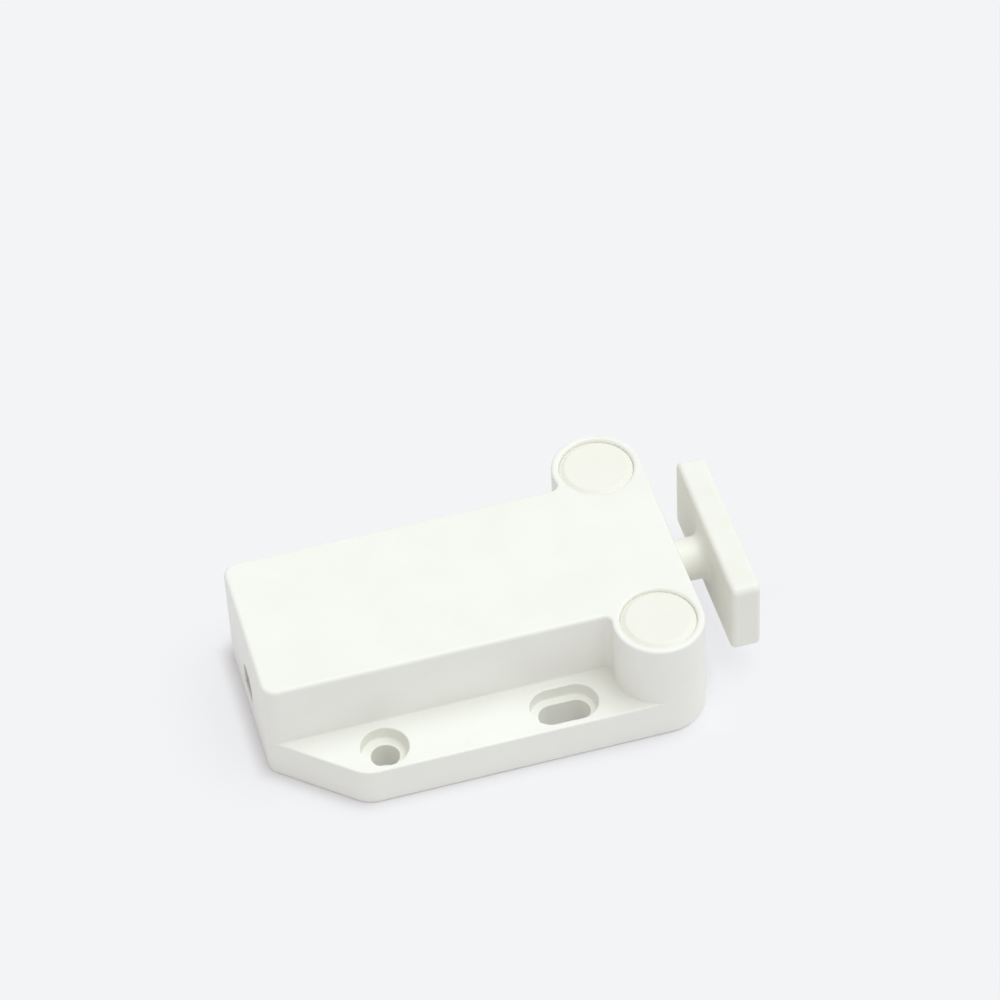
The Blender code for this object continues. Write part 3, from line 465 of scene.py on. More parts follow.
def ray(turn):
    """Unit vectors at the given angles."""
    return np.stack([np.cos(turn), np.sin(turn)], axis=-1)


def right_of(way):
    """The directions on the right of ways in a plane."""
    return way[..., ::-1] * FLIP


def arc(centre, radius, start, stop, hollow=False):
    """An arc about centre. Its normals are rays from the centre, or towards it where the arc is hollow."""
    count = max(2, math.ceil(abs(stop - start) / ARC_STEP) + 1)
    rays = ray(np.linspace(start, stop, count))
    return Outline(np.asarray(centre) + radius * rays, -rays if hollow else rays)


def straight(start, stop, marks=()):
    """A straight stretch with a land at each end. Its normals are on the right of the way it goes.
    Marks are further places on it, as distances from its start, or from its end where they are
    negative."""
    start = np.asarray(start, float)
    way = np.asarray(stop, float) - start
    reach = np.linalg.norm(way)
    way = way / reach
    marks = np.asarray(marks, float)
    places = np.concatenate([[0.0, reach], marks[marks > 0], reach + marks[marks < 0]])
    if reach > LEAST_FLAT:
        places = np.append(places, [LAND, reach - LAND])
    places = np.unique(np.clip(places, 0.0, reach))
    return Outline(start + places[:, None] * way, np.tile(right_of(way), (len(places), 1)))


def joined(*outlines):
    """One outline from several that follow each other. A point that two of them share is kept once."""
    points, normals = outlines[0]
    for following in outlines[1:]:
        skip = int(np.allclose(points[-1], following.points[0], atol=WELD))
        points = np.concatenate([points, following.points[skip:]])
        normals = np.concatenate([normals, following.normals[skip:]])
    return Outline(points, normals)


def closed(outline):
    """The outline with its first point again at its end."""
    return joined(outline, Outline(outline.points[:1], outline.normals[:1]))


def bent(corners, radii):
    """An open line through corners. Each inner corner is an arc, which touches the line on both sides
    of it. One radius may stand for all of them."""
    corners = np.asarray(corners, float)
    ways = np.diff(corners, axis=0)
    ways /= np.linalg.norm(ways, axis=1, keepdims=True)
    rights = right_of(ways)
    pieces = []
    last = corners[0]
    for i, radius in enumerate(np.broadcast_to(radii, len(corners) - 2)):
        turn = math.atan2(-rights[i] @ ways[i + 1], ways[i] @ ways[i + 1])
        setback = radius * math.tan(abs(turn) / 2)
        first = corners[i + 1] - ways[i] * setback
        heading = math.atan2(rights[i, 1], rights[i, 0])
        count = max(2, math.ceil(abs(turn) / BEND_STEP) + 1)
        normals = ray(heading + np.linspace(0, turn, count))
        swing = math.copysign(radius, turn) * (rights[i] - normals)
        pieces += [straight(last, first), Outline(first - swing, normals)]
        last = corners[i + 1] + ways[i + 1] * setback
    return joined(*pieces, straight(last, corners[-1]))


def rounded_loop(corners, radius):
    """A closed line through corners, each rounded by an arc. It starts in the middle of its last side."""
    corners = np.asarray(corners, float)
    start = (corners[-1] + corners[0]) / 2
    return bent([start, *corners, start], radius)


def rounded_rectangle(centre, size, radius):
    """A closed rectangle with round corners, counter-clockwise, whose normals point out of it."""
    corners = np.array([(1, -1), (1, 1), (-1, 1), (-1, -1)])
    return rounded_loop(np.asarray(centre) + corners * np.asarray(size) / 2, radius)


def inward(outline):
    """The same line run backwards, with its normals turned round: the wall of an opening."""
    return Outline(outline.points[::-1], -outline.normals[::-1])


def circle(centre, radius):
    """A closed circle, counter-clockwise, whose normals point out of it."""
    points, normals = arc(centre, radius, 0, FULL_TURN)
    return closed(Outline(points[:-1], normals[:-1]))


def slot(centre, radius, travel):
    """Wall of a slot: two half circles, travel apart along X, with normals pointing into the slot."""
    shift = np.array([travel / 2, 0])
    right = arc(centre + shift, radius, -QUARTER, QUARTER, hollow=True)
    left = arc(centre - shift, radius, QUARTER, 3 * QUARTER, hollow=True)
    return closed(joined(right, left))


# Edge profiles

EDGE_TURNS = np.linspace(0, QUARTER, EDGE_STEPS + 1)


class Profile(NamedTuple):
    """Rows of a surface: how far each stands out along an outline's normal, and its height."""

    out: np.ndarray
    up: np.ndarray

    def down(self):
        """The same rows, the other way round."""
        return Profile(self.out[..., ::-1], self.up[..., ::-1])

    def overturned(self, height):
        """The same rows upside down, each as far under the height as it was over zero, from the lowest
        up."""
        rows = self.down()
        return Profile(rows.out, height - rows.up)


def top_edge(radius, height, fade=1.0):
    """A rounded upper edge: a land on the wall, a quarter circle, a land on the flat. Fade shrinks it."""
    fade = np.asarray(fade)[..., None]
    inset = np.concatenate([[0.0], radius * (1 - np.cos(EDGE_TURNS)), [radius + LAND]])
    drop = np.concatenate([[radius + LAND], radius * (1 - np.sin(EDGE_TURNS)), [0.0]])
    return Profile(-fade * inset, height - fade * drop)


def bottom_edge(radius, height, fade=1.0):
    """The same edge upside down: a land on the flat, a quarter circle, a land on the wall."""
    return top_edge(radius, 0.0, fade).overturned(height)


def foot(radius, height, fade=1.0):
    """A hollow quarter circle from a floor up into a wall: an upper edge whose out and up change
    places."""
    edge = top_edge(radius, 0.0, fade)
    return Profile(-edge.up, height - edge.out)


def ceiling(radius, height):
    """A hollow quarter circle from a wall up into a ceiling: a foot upside down."""
    return foot(radius, 0.0).overturned(height)


def level(height):
    """A single row on the outline itself."""
    return Profile(np.zeros(1), np.array([height]))


# Grids


def raised(flat, up):
    """Points of a plane with their heights, or with one height for all."""
    flat = np.asarray(flat, float)
    return np.concatenate([flat, np.broadcast_to(up, flat.shape[:-1])[..., None]], axis=-1)


def carried(outline, *profiles):
    """Grid of an outline carried along profiles: point plus normal times out, at height up."""
    count = len(outline.points)
    out, up = (
        np.concatenate([np.broadcast_to(rows, (count, rows.shape[-1])) for rows in part], axis=1)
        for part in zip(*profiles)
    )
    return raised(outline.points[:, None] + outline.normals[:, None] * out[..., None], up)


def turned(line, centre):
    """Grid of a line of (radius, height) points turned about an upright axis through centre."""
    rays = circle((0, 0), 1.0).points
    radius, height = np.asarray(line).T
    return raised(np.asarray(centre) + rays[:, None] * radius[:, None], height)


def forward(grid):
    """Turns a grid made upright so that its height runs along X, and its plane is Y and Z."""
    return grid[..., [2, 0, 1]]


def mirrored(grid, side):
    """The grid itself for the left side, or its mirror image for the right."""
    return grid * np.array([1, side, 1])


def wire(points, sides_way, radius):
    """Grid of a round wire: rings about each point, square to the line, with a point closing each end.
    Sides_way is a unit vector at each point that is square to the line."""
    along = np.gradient(points, axis=0)
    along /= np.linalg.norm(along, axis=1, keepdims=True)
    across = np.cross(along, sides_way)
    turns = np.linspace(0, FULL_TURN, WIRE_SIDES + 1)[:, None]
    rings = sides_way[:, None] * np.cos(turns) + across[:, None] * np.sin(turns)
    grid = points[:, None] + radius * rings
    start, stop = (np.broadcast_to(point, grid[:1].shape) for point in points[[0, -1]])
    return np.concatenate([start, grid, stop])


def smooth_step(value, start, stop):
    """0 before start, 1 after stop, and between them three squares less two cubes of the share passed."""
    reach = np.clip((value - start) / (stop - start), 0.0, 1.0)
    return reach * reach * (3 - 2 * reach)


# Pieces


def regions(triangles, walls):
    """A label for each triangle, the same for all that are joined across sides that aren't walls.
    Neighbours take the lower of their two labels until nothing changes."""
    count = triangles.max() + 1
    sides = np.stack([triangles, np.roll(triangles, 1, axis=1)], axis=2).reshape(-1, 2)
    side_keys, wall_keys = (pairs.min(axis=1) * count + pairs.max(axis=1) for pairs in (sides, walls))
    free = np.flatnonzero(~np.isin(side_keys, wall_keys))
    order = free[np.argsort(side_keys[free], kind="stable")]
    shared = np.flatnonzero(side_keys[order[:-1]] == side_keys[order[1:]])
    neighbours = np.stack([order[shared], order[shared + 1]]) // triangles.shape[1]
    labels = np.arange(len(triangles))
    while True:
        lower = labels.copy()
        least = np.minimum(*labels[neighbours])
        for triangle in neighbours:
            np.minimum.at(lower, triangle, least)
        lower = lower[lower]
        if (lower == labels).all():
            return labels
        labels = lower


def inside(places, edges):
    """Whether a ray from each place along the first axis crosses an odd number of edges."""
    (start_x, start_y), (stop_x, stop_y) = edges.transpose(1, 2, 0)
    x, y = places.T[..., None]
    spans = (start_y > y) != (stop_y > y)
    rise = np.where(stop_y == start_y, 1.0, stop_y - start_y)
    crossing = start_x + (y - start_y) * (stop_x - start_x) / rise
    return (spans & (x < crossing)).sum(axis=1) % 2 == 1


class Skin:
    """Collects a piece's grids and flat fills, and welds them into one closed mesh.
    Rims holds, for each flat face that is filled last, the chains of points that bound it."""

    def __init__(self):
        self.points = []
        self.faces = []
        self.count = 0
        self.rims = defaultdict(list)

    def add(self, points, faces):
        """Takes in points, and faces that count from the first of them."""
        self.points.append(points)
        self.faces += (faces + self.count).tolist()
        self.count += len(points)

    def grid(self, grid):
        """Quads between neighbouring points of a grid, whose columns and rows are its first two axes."""
        columns, rows = grid.shape[:2]
        index = np.arange(columns * rows).reshape(columns, rows)
        quads = [index[:-1, :-1], index[1:, :-1], index[1:, 1:], index[:-1, 1:]]
        self.add(grid.reshape(-1, 3), np.stack(quads, axis=-1).reshape(-1, 4))

    def fill(self, *chains):
        """Triangles of the flat area that chains of points enclose. Triangles that no chain parts make
        a region, which is kept if the middle of its largest triangle lies inside the chains."""
        points = np.concatenate(chains)
        flat = np.delete(points, np.ptp(points, axis=0).argmin(), axis=1) / MM
        stops = np.cumsum([len(chain) for chain in chains])
        first = np.delete(np.arange(len(points)), stops - 1)
        edges = np.stack([first, first + 1], axis=1)
        corners, sides, faces, sources, side_sources, _ = delaunay_2d_cdt(
            flat.tolist(), edges.tolist(), [], ENCLOSED, FILL_MERGE
        )
        crossings = [tuple(corner) for corner, source in zip(corners, sources) if not source]
        if crossings:
            raise RuntimeError(f"chains cross at {crossings}")
        walls = [side for side, source in zip(sides, side_sources) if source]
        region = regions(np.array(faces), np.array(walls))
        triangles = np.array([source[0] for source in sources])[np.array(faces)]
        shapes = flat[triangles]
        by_size = np.argsort(np.abs(np.linalg.det(shapes[:, 1:] - shapes[:, :1])))
        largest = np.zeros(len(triangles), int)
        largest[region[by_size]] = by_size
        middles = shapes[largest[region]].mean(axis=1)
        self.add(points, triangles[inside(middles, flat[edges])])

    def capped(self, grid):
        """A grid whose last row is closed by a flat. Returns its first row."""
        self.grid(grid)
        self.fill(grid[:, -1])
        return grid[:, 0]

    def end_strips(self, face, line, lower, upper):
        """Lower and upper edge of a front or rear face. The face between them is left to its rims."""
        low = carried(line, lower)
        high = carried(line, upper)
        self.grid(low)
        self.grid(high)
        self.rims["bottom"].append(low[:, 0])
        self.rims["top"].append(high[:, -1])
        self.rims[face] += [low[:, -1], high[:, 0]]

    def close(self):
        """Fills each flat face within its rims."""
        for chains in self.rims.values():
            self.fill(*chains)

    def piece(self, solid, form, kind, body=None):
        """Welds the patches, checks that they close, and makes a piece in place of a solid, which it
        hides, named after the solid and its own form. A piece without a body is left without a parent."""
        name = f"{solid}_{form}"
        mesh = bpy.data.meshes.new(name)
        mesh.from_pydata(np.concatenate(self.points).tolist(), [], self.faces)
        work = bmesh.new()
        work.from_mesh(mesh)
        bmesh.ops.remove_doubles(work, verts=work.verts, dist=WELD)
        bmesh.ops.recalc_face_normals(work, faces=work.faces)
        gaps = sum(not edge.is_manifold for edge in work.edges)
        work.to_mesh(mesh)
        work.free()
        if gaps:
            raise RuntimeError(f"{name} has {gaps} edges that don't close")
        mesh.shade_smooth()
        mesh.set_sharp_from_angle(angle=CREASE)
        mesh.materials.append(finish(kind))
        made = bpy.data.objects.new(name, mesh)
        bpy.context.scene.collection.objects.link(made)
        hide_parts(solid)
        FINISHES[kind].slot
        if body:
            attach(made, body)
        return made


def turned_skin(line, centre, lying=False):
    """A line turned about an upright axis, or about one along X where the piece is lying."""
    grid = turned(line, centre)
    skin = Skin()
    skin.grid(forward(grid) if lying else grid)
    return skin


def pocket(skin, outline, mouth, floor):
    """A straight-sided hollow with a flat floor. Returns the ring of its mouth."""
    return skin.capped(carried(inward(outline), level(mouth), level(floor)))


def blind_hollow(skin, outline, mouth, end):
    """A hollow along X with a flat end, whose section is an outline in Y and Z. Returns the ring of its
    mouth."""
    return skin.capped(forward(carried(inward(outline), mouth, level(end))))


# Housing

GAP_SHARE = 0.4  # of the room between two lines that each one's rounding may take
FADE_MARKS = np.linspace(0.25, 6.0, 24) * MM  # places from a line's end, where roundings fade
POST_BLEND = 3.0 * MM  # distance over which a post's narrow top edge widens to the block's


class Shell(NamedTuple):
    """Outlines of the housing's left half, from front to rear, and the room beside back and edge."""

    nose: Outline
    back: Outline
    tail: Outline
    edge: Outline
    back_room: np.ndarray
    edge_room: np.ndarray


def shell_outlines(sizes):
    """Nose: the post's front quarter. Back: the rest of the post, a hollow corner and the block's side.
    Tail: the block's rear corner. Edge: the flange's outer side and slope. They meet at the post's side
    and at the cusp, where the slope touches the block's corner."""
    half = sizes.block_width / 2
    post_x, post_y = POST
    nose_start = straight((FRONT_X, post_y - LAND), (FRONT_X, post_y))
    nose = joined(nose_start, arc(POST, POST_RADIUS, 0, QUARTER))
    hollow_y = half + sizes.hollow
    reach = POST_RADIUS + sizes.hollow
    hollow_x = post_x - math.sqrt(reach**2 - (post_y - hollow_y) ** 2)
    meet = HALF_TURN + math.asin((post_y - hollow_y) / reach)
    corner = np.array([REAR_X + sizes.block_corner, half - sizes.block_corner])
    slope_end = np.array([REAR_X + sizes.slope_run, FLANGE_HALF])
    across, out = slope_end - corner
    slope = math.atan2(out, across) - math.asin(sizes.block_corner / math.hypot(across, out))
    leave = QUARTER + slope
    cusp = corner + sizes.block_corner * ray(leave)
    back = joined(
        arc(POST, POST_RADIUS, QUARTER, meet),
        arc((hollow_x, hollow_y), sizes.hollow, meet - HALF_TURN, -QUARTER, hollow=True),
        straight((hollow_x, half), (corner[0], half), -FADE_MARKS),
        arc(corner, sizes.block_corner, QUARTER, leave),
    )
    tail_stop = straight((REAR_X, corner[1]), (REAR_X, corner[1] - LAND))
    tail = joined(arc(corner, sizes.block_corner, leave, HALF_TURN), tail_stop)
    middle = slope_end + sizes.flange_corner * np.array([math.tan(slope / 2), -1])
    bend = arc(middle, sizes.flange_corner, QUARTER, leave)
    edge = joined(
        straight((post_x, FLANGE_HALF), bend.points[0], FADE_MARKS),
        bend,
        straight(bend.points[-1], cusp, -FADE_MARKS),
    )
    back_room = (cusp - back.points) @ ray(leave)
    from_side = edge.points[:, 1] - half
    from_corner = np.linalg.norm(edge.points - corner, axis=1) - sizes.block_corner
    edge_room = np.where(edge.points[:, 0] < corner[0], from_corner, from_side)
    return Shell(nose, back, tail, edge, back_room, edge_room)


def top_profile(outline, sizes):
    """The top edge along an outline: narrow on the posts, where the caps leave little room, full
    elsewhere."""
    x, y = outline.points.T
    away = np.hypot(x - POST[0], np.abs(y) - POST[1])
    blend = smooth_step(away, POST_RADIUS, POST_RADIUS + POST_BLEND)
    narrow = sizes.post_edge / sizes.top_edge
    return top_edge(sizes.top_edge, TOP_Z, narrow + (1 - narrow) * blend)


def fade_in(room, radius):
    """How much of a rounding fits where the room beside it runs out."""
    return np.clip(GAP_SHARE * room / (radius + LAND), 0.0, 1.0)


def shell_walls(shell, sizes):
    """Grids of the nose, back, tail and edge, from the mounting face or the flange's top upwards."""
    height = sizes.flange_height
    lower = bottom_edge(sizes.lower_edge, 0.0)
    to_side = FLANGE_HALF - shell.back.points[:, 1]
    foot_fade = fade_in(np.minimum(to_side, shell.back_room), sizes.foot)
    x = shell.edge.points[:, 0]
    from_post = np.sqrt(np.clip(POST_RADIUS**2 - (POST[0] - x) ** 2, 0.0, None))
    edge_fade = fade_in(np.minimum(POST_RADIUS - from_post, shell.edge_room), sizes.flange_edge)
    return (
        carried(shell.nose, lower, level(height), top_profile(shell.nose, sizes)),
        carried(shell.back, foot(sizes.foot, height, foot_fade), top_profile(shell.back, sizes)),
        carried(shell.tail, lower, level(height), top_profile(shell.tail, sizes)),
        carried(shell.edge, lower, top_edge(sizes.flange_edge, height, edge_fade)),
    )


def mounting_holes(skin, settings, side):
    """The round hole and the slot of one flange: lip, counterbore, seat and through hole in one grid each.
    Returns their upper rings."""
    sizes = settings.housing
    holes = settings.holes
    seat = sizes.flange_height - holes.depth
    lip = top_edge(sizes.lip, sizes.flange_height).down()
    fillet = foot(holes.seat_fillet, seat).down()
    hole_lip = top_edge(holes.lip, seat).down()
    under_lip = bottom_edge(sizes.lip, 0.0).down()
    kinds = (
        (-holes.pitch / 2, 0.0, holes.counterbore),
        (holes.pitch / 2, holes.travel, holes.slot_counterbore),
    )
    tops = []
    for x, travel, counterbore in kinds:
        centre = np.array([x, FLANGE_HALF - holes.edge])
        wide = carried(slot(centre, counterbore / 2, travel), lip, fillet)
        narrow = carried(slot(centre, holes.diameter / 2, travel), hole_lip, under_lip)
        grid = mirrored(np.concatenate([wide, narrow], axis=1), side)
        skin.grid(grid)
        tops.append(grid[:, 0])
        skin.rims["bottom"].append(grid[:, -1])
    return tops


def flange_cores(skin, settings, side):
    """Two hollows in one flange's underside, between the round hole and the slot."""
    sizes = settings.housing
    holes = settings.holes
    reach = holes.diameter / 2 + holes.core_wall
    rear = -holes.pitch / 2 + reach
    front = holes.pitch / 2 - holes.travel / 2 - reach
    run = (front - rear - holes.core_wall) / 2
    near = sizes.block_width / 2
    far = FLANGE_HALF - holes.core_wall
    lip = bottom_edge(sizes.lip, 0.0)
    roof = ceiling(sizes.lip, sizes.flange_height - holes.core_roof)
    for x in (rear + run / 2, front - run / 2):
        outline = rounded_rectangle((x, (near + far) / 2), (run, far - near), holes.core_corner)
        grid = mirrored(carried(inward(outline), lip, roof), side)
        skin.rims["bottom"].append(skin.capped(grid))


def recess_height(plate):
    """Mounting face to the roof of the recesses for the base plate's wings."""
    return plate.thickness + plate.gap


def post_bores(skin, settings, side):
    """The stepped bore of one post: cap seat, screw well, clamped web and boss bore. Returns its lowest
    ring."""
    posts = settings.posts
    lip = settings.housing.lip
    cap_bore, well, screw_bore, boss_bore = (
        diameter / 2 for diameter in (posts.cap_bore, posts.well, posts.screw_bore, posts.boss_bore)
    )
    seat = CAPS["left"].high[2] - posts.cap_thickness - posts.seat_gap
    web_low = posts.web_top - posts.web
    corners = [
        (cap_bore + posts.seat_lip + LAND, TOP_Z),
        (cap_bore, TOP_Z),
        (cap_bore, seat),
        (well, seat),
        (well, posts.web_top),
        (screw_bore, posts.web_top),
        (screw_bore, web_low),
        (boss_bore, web_low),
        (boss_bore, recess_height(settings.plate)),
    ]
    lips = [lip] * (len(corners) - 3)
    line = bent(corners, [posts.seat_lip, *lips])
    grid = mirrored(turned(line.points, POST), side)
    skin.grid(grid)
    skin.rims["top"].append(grid[:, 0])
    return grid[:, -1]


def cavity_ends(sizes):
    """Rear and front end of the room inside, along X."""
    return REAR_X + sizes.wall, FRONT_X - sizes.front_wall


def tongue_outline(settings, side, gap=0.0):
    """Section of one of the base plate's tongues, beside the rear window, with room round it."""
    plate = settings.plate
    size = np.array([plate.tongue_width, plate.tongue_thickness])
    inner = settings.housing.window_width / 2 + settings.housing.wall
    middle = np.array([inner, plate.tongue_height]) + size / 2
    return rounded_rectangle(middle * [side, 1], size + 2 * gap, plate.edge)


def rear_seats(skin, settings, rear):
    """Seats in the rear wall's inner face for the rods' ends and the plate's tongues. Returns their
    rings."""
    gap = settings.housing.bore_gap
    slot_end = rear - settings.plate.tongue_length
    rings = []
    for name, side in SIDES.items():
        rod = RODS[name]
        seat = circle(rod.middle[1:], rod.size[1] / 2 + gap)
        rings.append(blind_hollow(skin, seat, level(rear), rod.low[0] - gap))
        tongue_slot = tongue_outline(settings, side, settings.plate.gap)
        rings.append(blind_hollow(skin, tongue_slot, level(rear), slot_end))
    return rings


def stem_bore(skin, settings):
    """The bore in the front wall, with a rounded mouth. Returns its inner ring."""
    sizes = settings.housing
    bore = inward(circle(AXIS, settings.plunger.stem / 2 + sizes.bore_gap))
    mouth = top_edge(sizes.lip, FRONT_X).down()
    grid = forward(carried(bore, mouth, level(cavity_ends(sizes)[1])))
    skin.grid(grid)
    skin.rims["front"].append(grid[:, 0])
    return grid[:, -1]


def rear_window(skin, sizes):
    """The arched window in the rear wall, with a rounded edge. Returns its inner ring."""
    half = sizes.window_width / 2
    sill = sizes.window_sill
    spring_line = sill + sizes.window_height - half
    route = [(-half, spring_line), (-half, sill), (half, sill), (half, spring_line)]
    arch = arc((0, spring_line), half, 0, HALF_TURN)
    outline = inward(joined(bent(route, sizes.window_corner), arch))
    grid = forward(carried(outline, bottom_edge(sizes.lip, REAR_X), level(cavity_ends(sizes)[0])))
    skin.grid(grid)
    skin.rims["rear"].append(grid[:, 0])
    return grid[:, -1]


def cavity(skin, settings, bore_rings):
    """The room inside, open below for the base plate, with a recess for each of the plate's wings, the
    stem's bore in front, and the window and the seats behind. Bore_rings are the posts' lowest
    rings."""
    sizes = settings.housing
    plate = settings.plate
    half = SLIDER.high[1] + plate.gap
    inner = SLIDER.high[1] - plate.gap
    rear, front = cavity_ends(sizes)
    top = TOP_Z - sizes.roof
    recess = recess_height(plate)
    wing = plate.wing + plate.gap
    turn_off = POST[0] - wing
    ahead = [(front, inner), (POST[0] + wing, inner)]
    route = np.concatenate([ahead, arc(POST, wing, 0, HALF_TURN).points, [(turn_off, half)]])
    side_wall = [
        (rear, half, 0.0),
        (turn_off, half, 0.0),
        (turn_off, half, recess),
        (front, half, recess),
        (front, half, top),
        (rear, half, top),
        (rear, half, 0.0),
    ]
    bottom = skin.rims["bottom"]
    for side in SIDES.values():
        low, high = (mirrored(raised(route, z), side) for z in (0.0, recess))
        skin.grid(np.stack([low, high], axis=1))
        lid = mirrored(raised([route[-1], (front, half), route[0]], recess), side)
        skin.fill(high, lid, bore_rings[side])
        skin.fill(mirrored(np.array(side_wall), side))
        bottom += [low, mirrored(np.array(side_wall[:2]), side)]
    steps = [(inner, 0.0), (inner, recess), (half, recess), (half, top)]
    mirror_steps = [(-y, z) for y, z in reversed(steps)]
    front_wall = np.array([(front, y, z) for y, z in steps + mirror_steps + steps[:1]])
    skin.fill(front_wall, stem_bore(skin, settings))
    corners = [(half, 0.0), (half, top), (-half, top), (-half, 0.0), (half, 0.0)]
    rear_wall = np.array([(rear, y, z) for y, z in corners])
    skin.fill(rear_wall, rear_window(skin, sizes), *rear_seats(skin, settings, rear))
    roof = [(rear, half), (front, half), (front, -half), (rear, -half), (rear, half)]
    skin.fill(raised(roof, top))
    for x, y in ((front, inner), (rear, half)):
        bottom.append(raised([(x, y), (x, -y)], 0.0))


def housing_skin(settings):
    """Walls, flange tops, ends, bores and cavity."""
    sizes = settings.housing
    skin = Skin()
    rims = skin.rims
    shell = shell_outlines(sizes)
    walls = shell_walls(shell, sizes)
    wall_rows = slice(EDGE_ROWS - 1, EDGE_ROWS + 2)  # between the lower and the upper edge
    bore_rings = {}
    for side in SIDES.values():
        nose, back, tail, edge = (mirrored(wall, side) for wall in walls)
        for wall in (nose, back, tail, edge):
            skin.grid(wall)
        rims["bottom"] += [nose[:, 0], tail[:, 0], edge[:, 0]]
        rims["top"] += [nose[:, -1], back[:, -1], tail[:, -1]]
        rims["front"].append(nose[0, wall_rows])
        rims["rear"].append(tail[-1, wall_rows])
        skin.fill(edge[:, -1], back[:, 0], *mounting_holes(skin, settings, side))
        flange_cores(skin, settings, side)
        bore_rings[side] = post_bores(skin, settings, side)
    front, rear = shell.nose.points[0], shell.tail.points[-1]
    ends = {"front": (front * FLIP, front), "rear": (rear, rear * FLIP)}
    for face, (start, stop) in ends.items():
        count = math.ceil(abs(stop[1] - start[1]) / END_STEP)
        line = straight(start, stop, np.arange(1, count) * END_STEP)
        skin.end_strips(face, line, bottom_edge(sizes.lower_edge, 0.0), top_profile(line, sizes))
    cavity(skin, settings, bore_rings)
    skin.close()
    return skin


class TOUCHLATCH_OT_housing(bpy.types.Operator):
    """Mould the housing: block, flanges, posts and all of its openings"""

    bl_idname = "touch_latch.housing"
    bl_label = "Housing"

    def execute(self, context):
        housing_skin(context.scene.touch_latch).piece("housing", "shell", "white", "case")
        return {"FINISHED"}


# Caps


def cap_skin(posts, side):
    """A turned cap: a flat disc with a bevelled rim, on a plug that closes the screw's well."""
    low, high = CAPS["left"].low[2], CAPS["left"].high[2]
    radius = posts.cap_bore / 2 - posts.cap_gap
    under = high - posts.cap_thickness
    spigot = posts.spigot / 2
    corners = [
        (0.0, high),
        (radius - posts.cap_bevel, high),
        (radius, high - posts.cap_drop),
        (radius, under),
        (spigot, under),
        (spigot, low),
        (0.0, low),
    ]
    plug_edge = posts.plug_edge
    line = bent(corners, [posts.cap_edge, plug_edge, plug_edge, plug_edge, posts.cap_edge])
    return turned_skin(line.points, POST * [1, side])


class TOUCHLATCH_OT_caps(bpy.types.Operator):
    """Turn the two caps that close the posts"""

    bl_idname = "touch_latch.caps"
    bl_label = "Post caps"

    def execute(self, context):
        for name, side in SIDES.items():
            skin = cap_skin(context.scene.touch_latch.posts, side)
            skin.piece(f"post_cap_{name}", "disc", "cap", "case")
        return {"FINISHED"}


# Base plate


def plate_outline(settings):
    """The left half of the plate's outline, from the middle of its front, with a round wing under the
    post, to the land beside its rear corner."""
    plate = settings.plate
    half = SLIDER.high[1]
    rear, front = cavity_ends(settings.housing)
    front -= plate.gap
    rear += plate.gap
    x, y = POST
    wing = plate.wing
    stop = half - plate.corner - LAND
    ahead = bent([(front, 0), (front, half), (x + wing, half), (x + wing, y)], plate.corner)
    behind = bent([(x - wing, y), (x - wing, half), (rear, half), (rear, stop)], plate.corner)
    return joined(ahead, arc(POST, wing, 0, HALF_TURN), behind)


def tongue(skin, settings, side, root):
    """A tongue on the plate's rear face with a rounded end. Returns the ring of its root."""
    plate = settings.plate
    tip = bottom_edge(plate.fillet, root - plate.tongue_length)
    return skin.capped(forward(carried(tongue_outline(settings, side), level(root), tip.down())))


def rail(skin, settings, side):
    """A runner rail for the slider, along one side of the plate. Returns the ring of its foot."""
    plate = settings.plate
    sizes = settings.housing
    rear, front = cavity_ends(sizes)
    rear += sizes.wall
    front -= sizes.front_wall
    middle = (rear + front) / 2, SLIDER.high[1] - plate.gap - plate.rail_width / 2
    outline = rounded_rectangle(middle, (front - rear, plate.rail_width), plate.corner)
    root = foot(plate.fillet, plate.thickness)
    return skin.capped(mirrored(carried(outline, root, top_edge(plate.edge, plate.rail_top)), side))


def boss(skin, plate, centre, radius, top, bore, floor):
    """A round boss on the plate with a bore down to its floor. Returns the ring of the boss's foot."""
    corners = [
        (radius + plate.fillet + LAND, plate.thickness),
        (radius, plate.thickness),
        (radius, top),
        (bore, top),
        (bore, floor),
        (0.0, floor),
    ]
    line = bent(corners, [plate.fillet, plate.edge, plate.edge, plate.edge])
    grid = turned(line.points, centre)
    skin.grid(grid)
    return grid[:, 0]


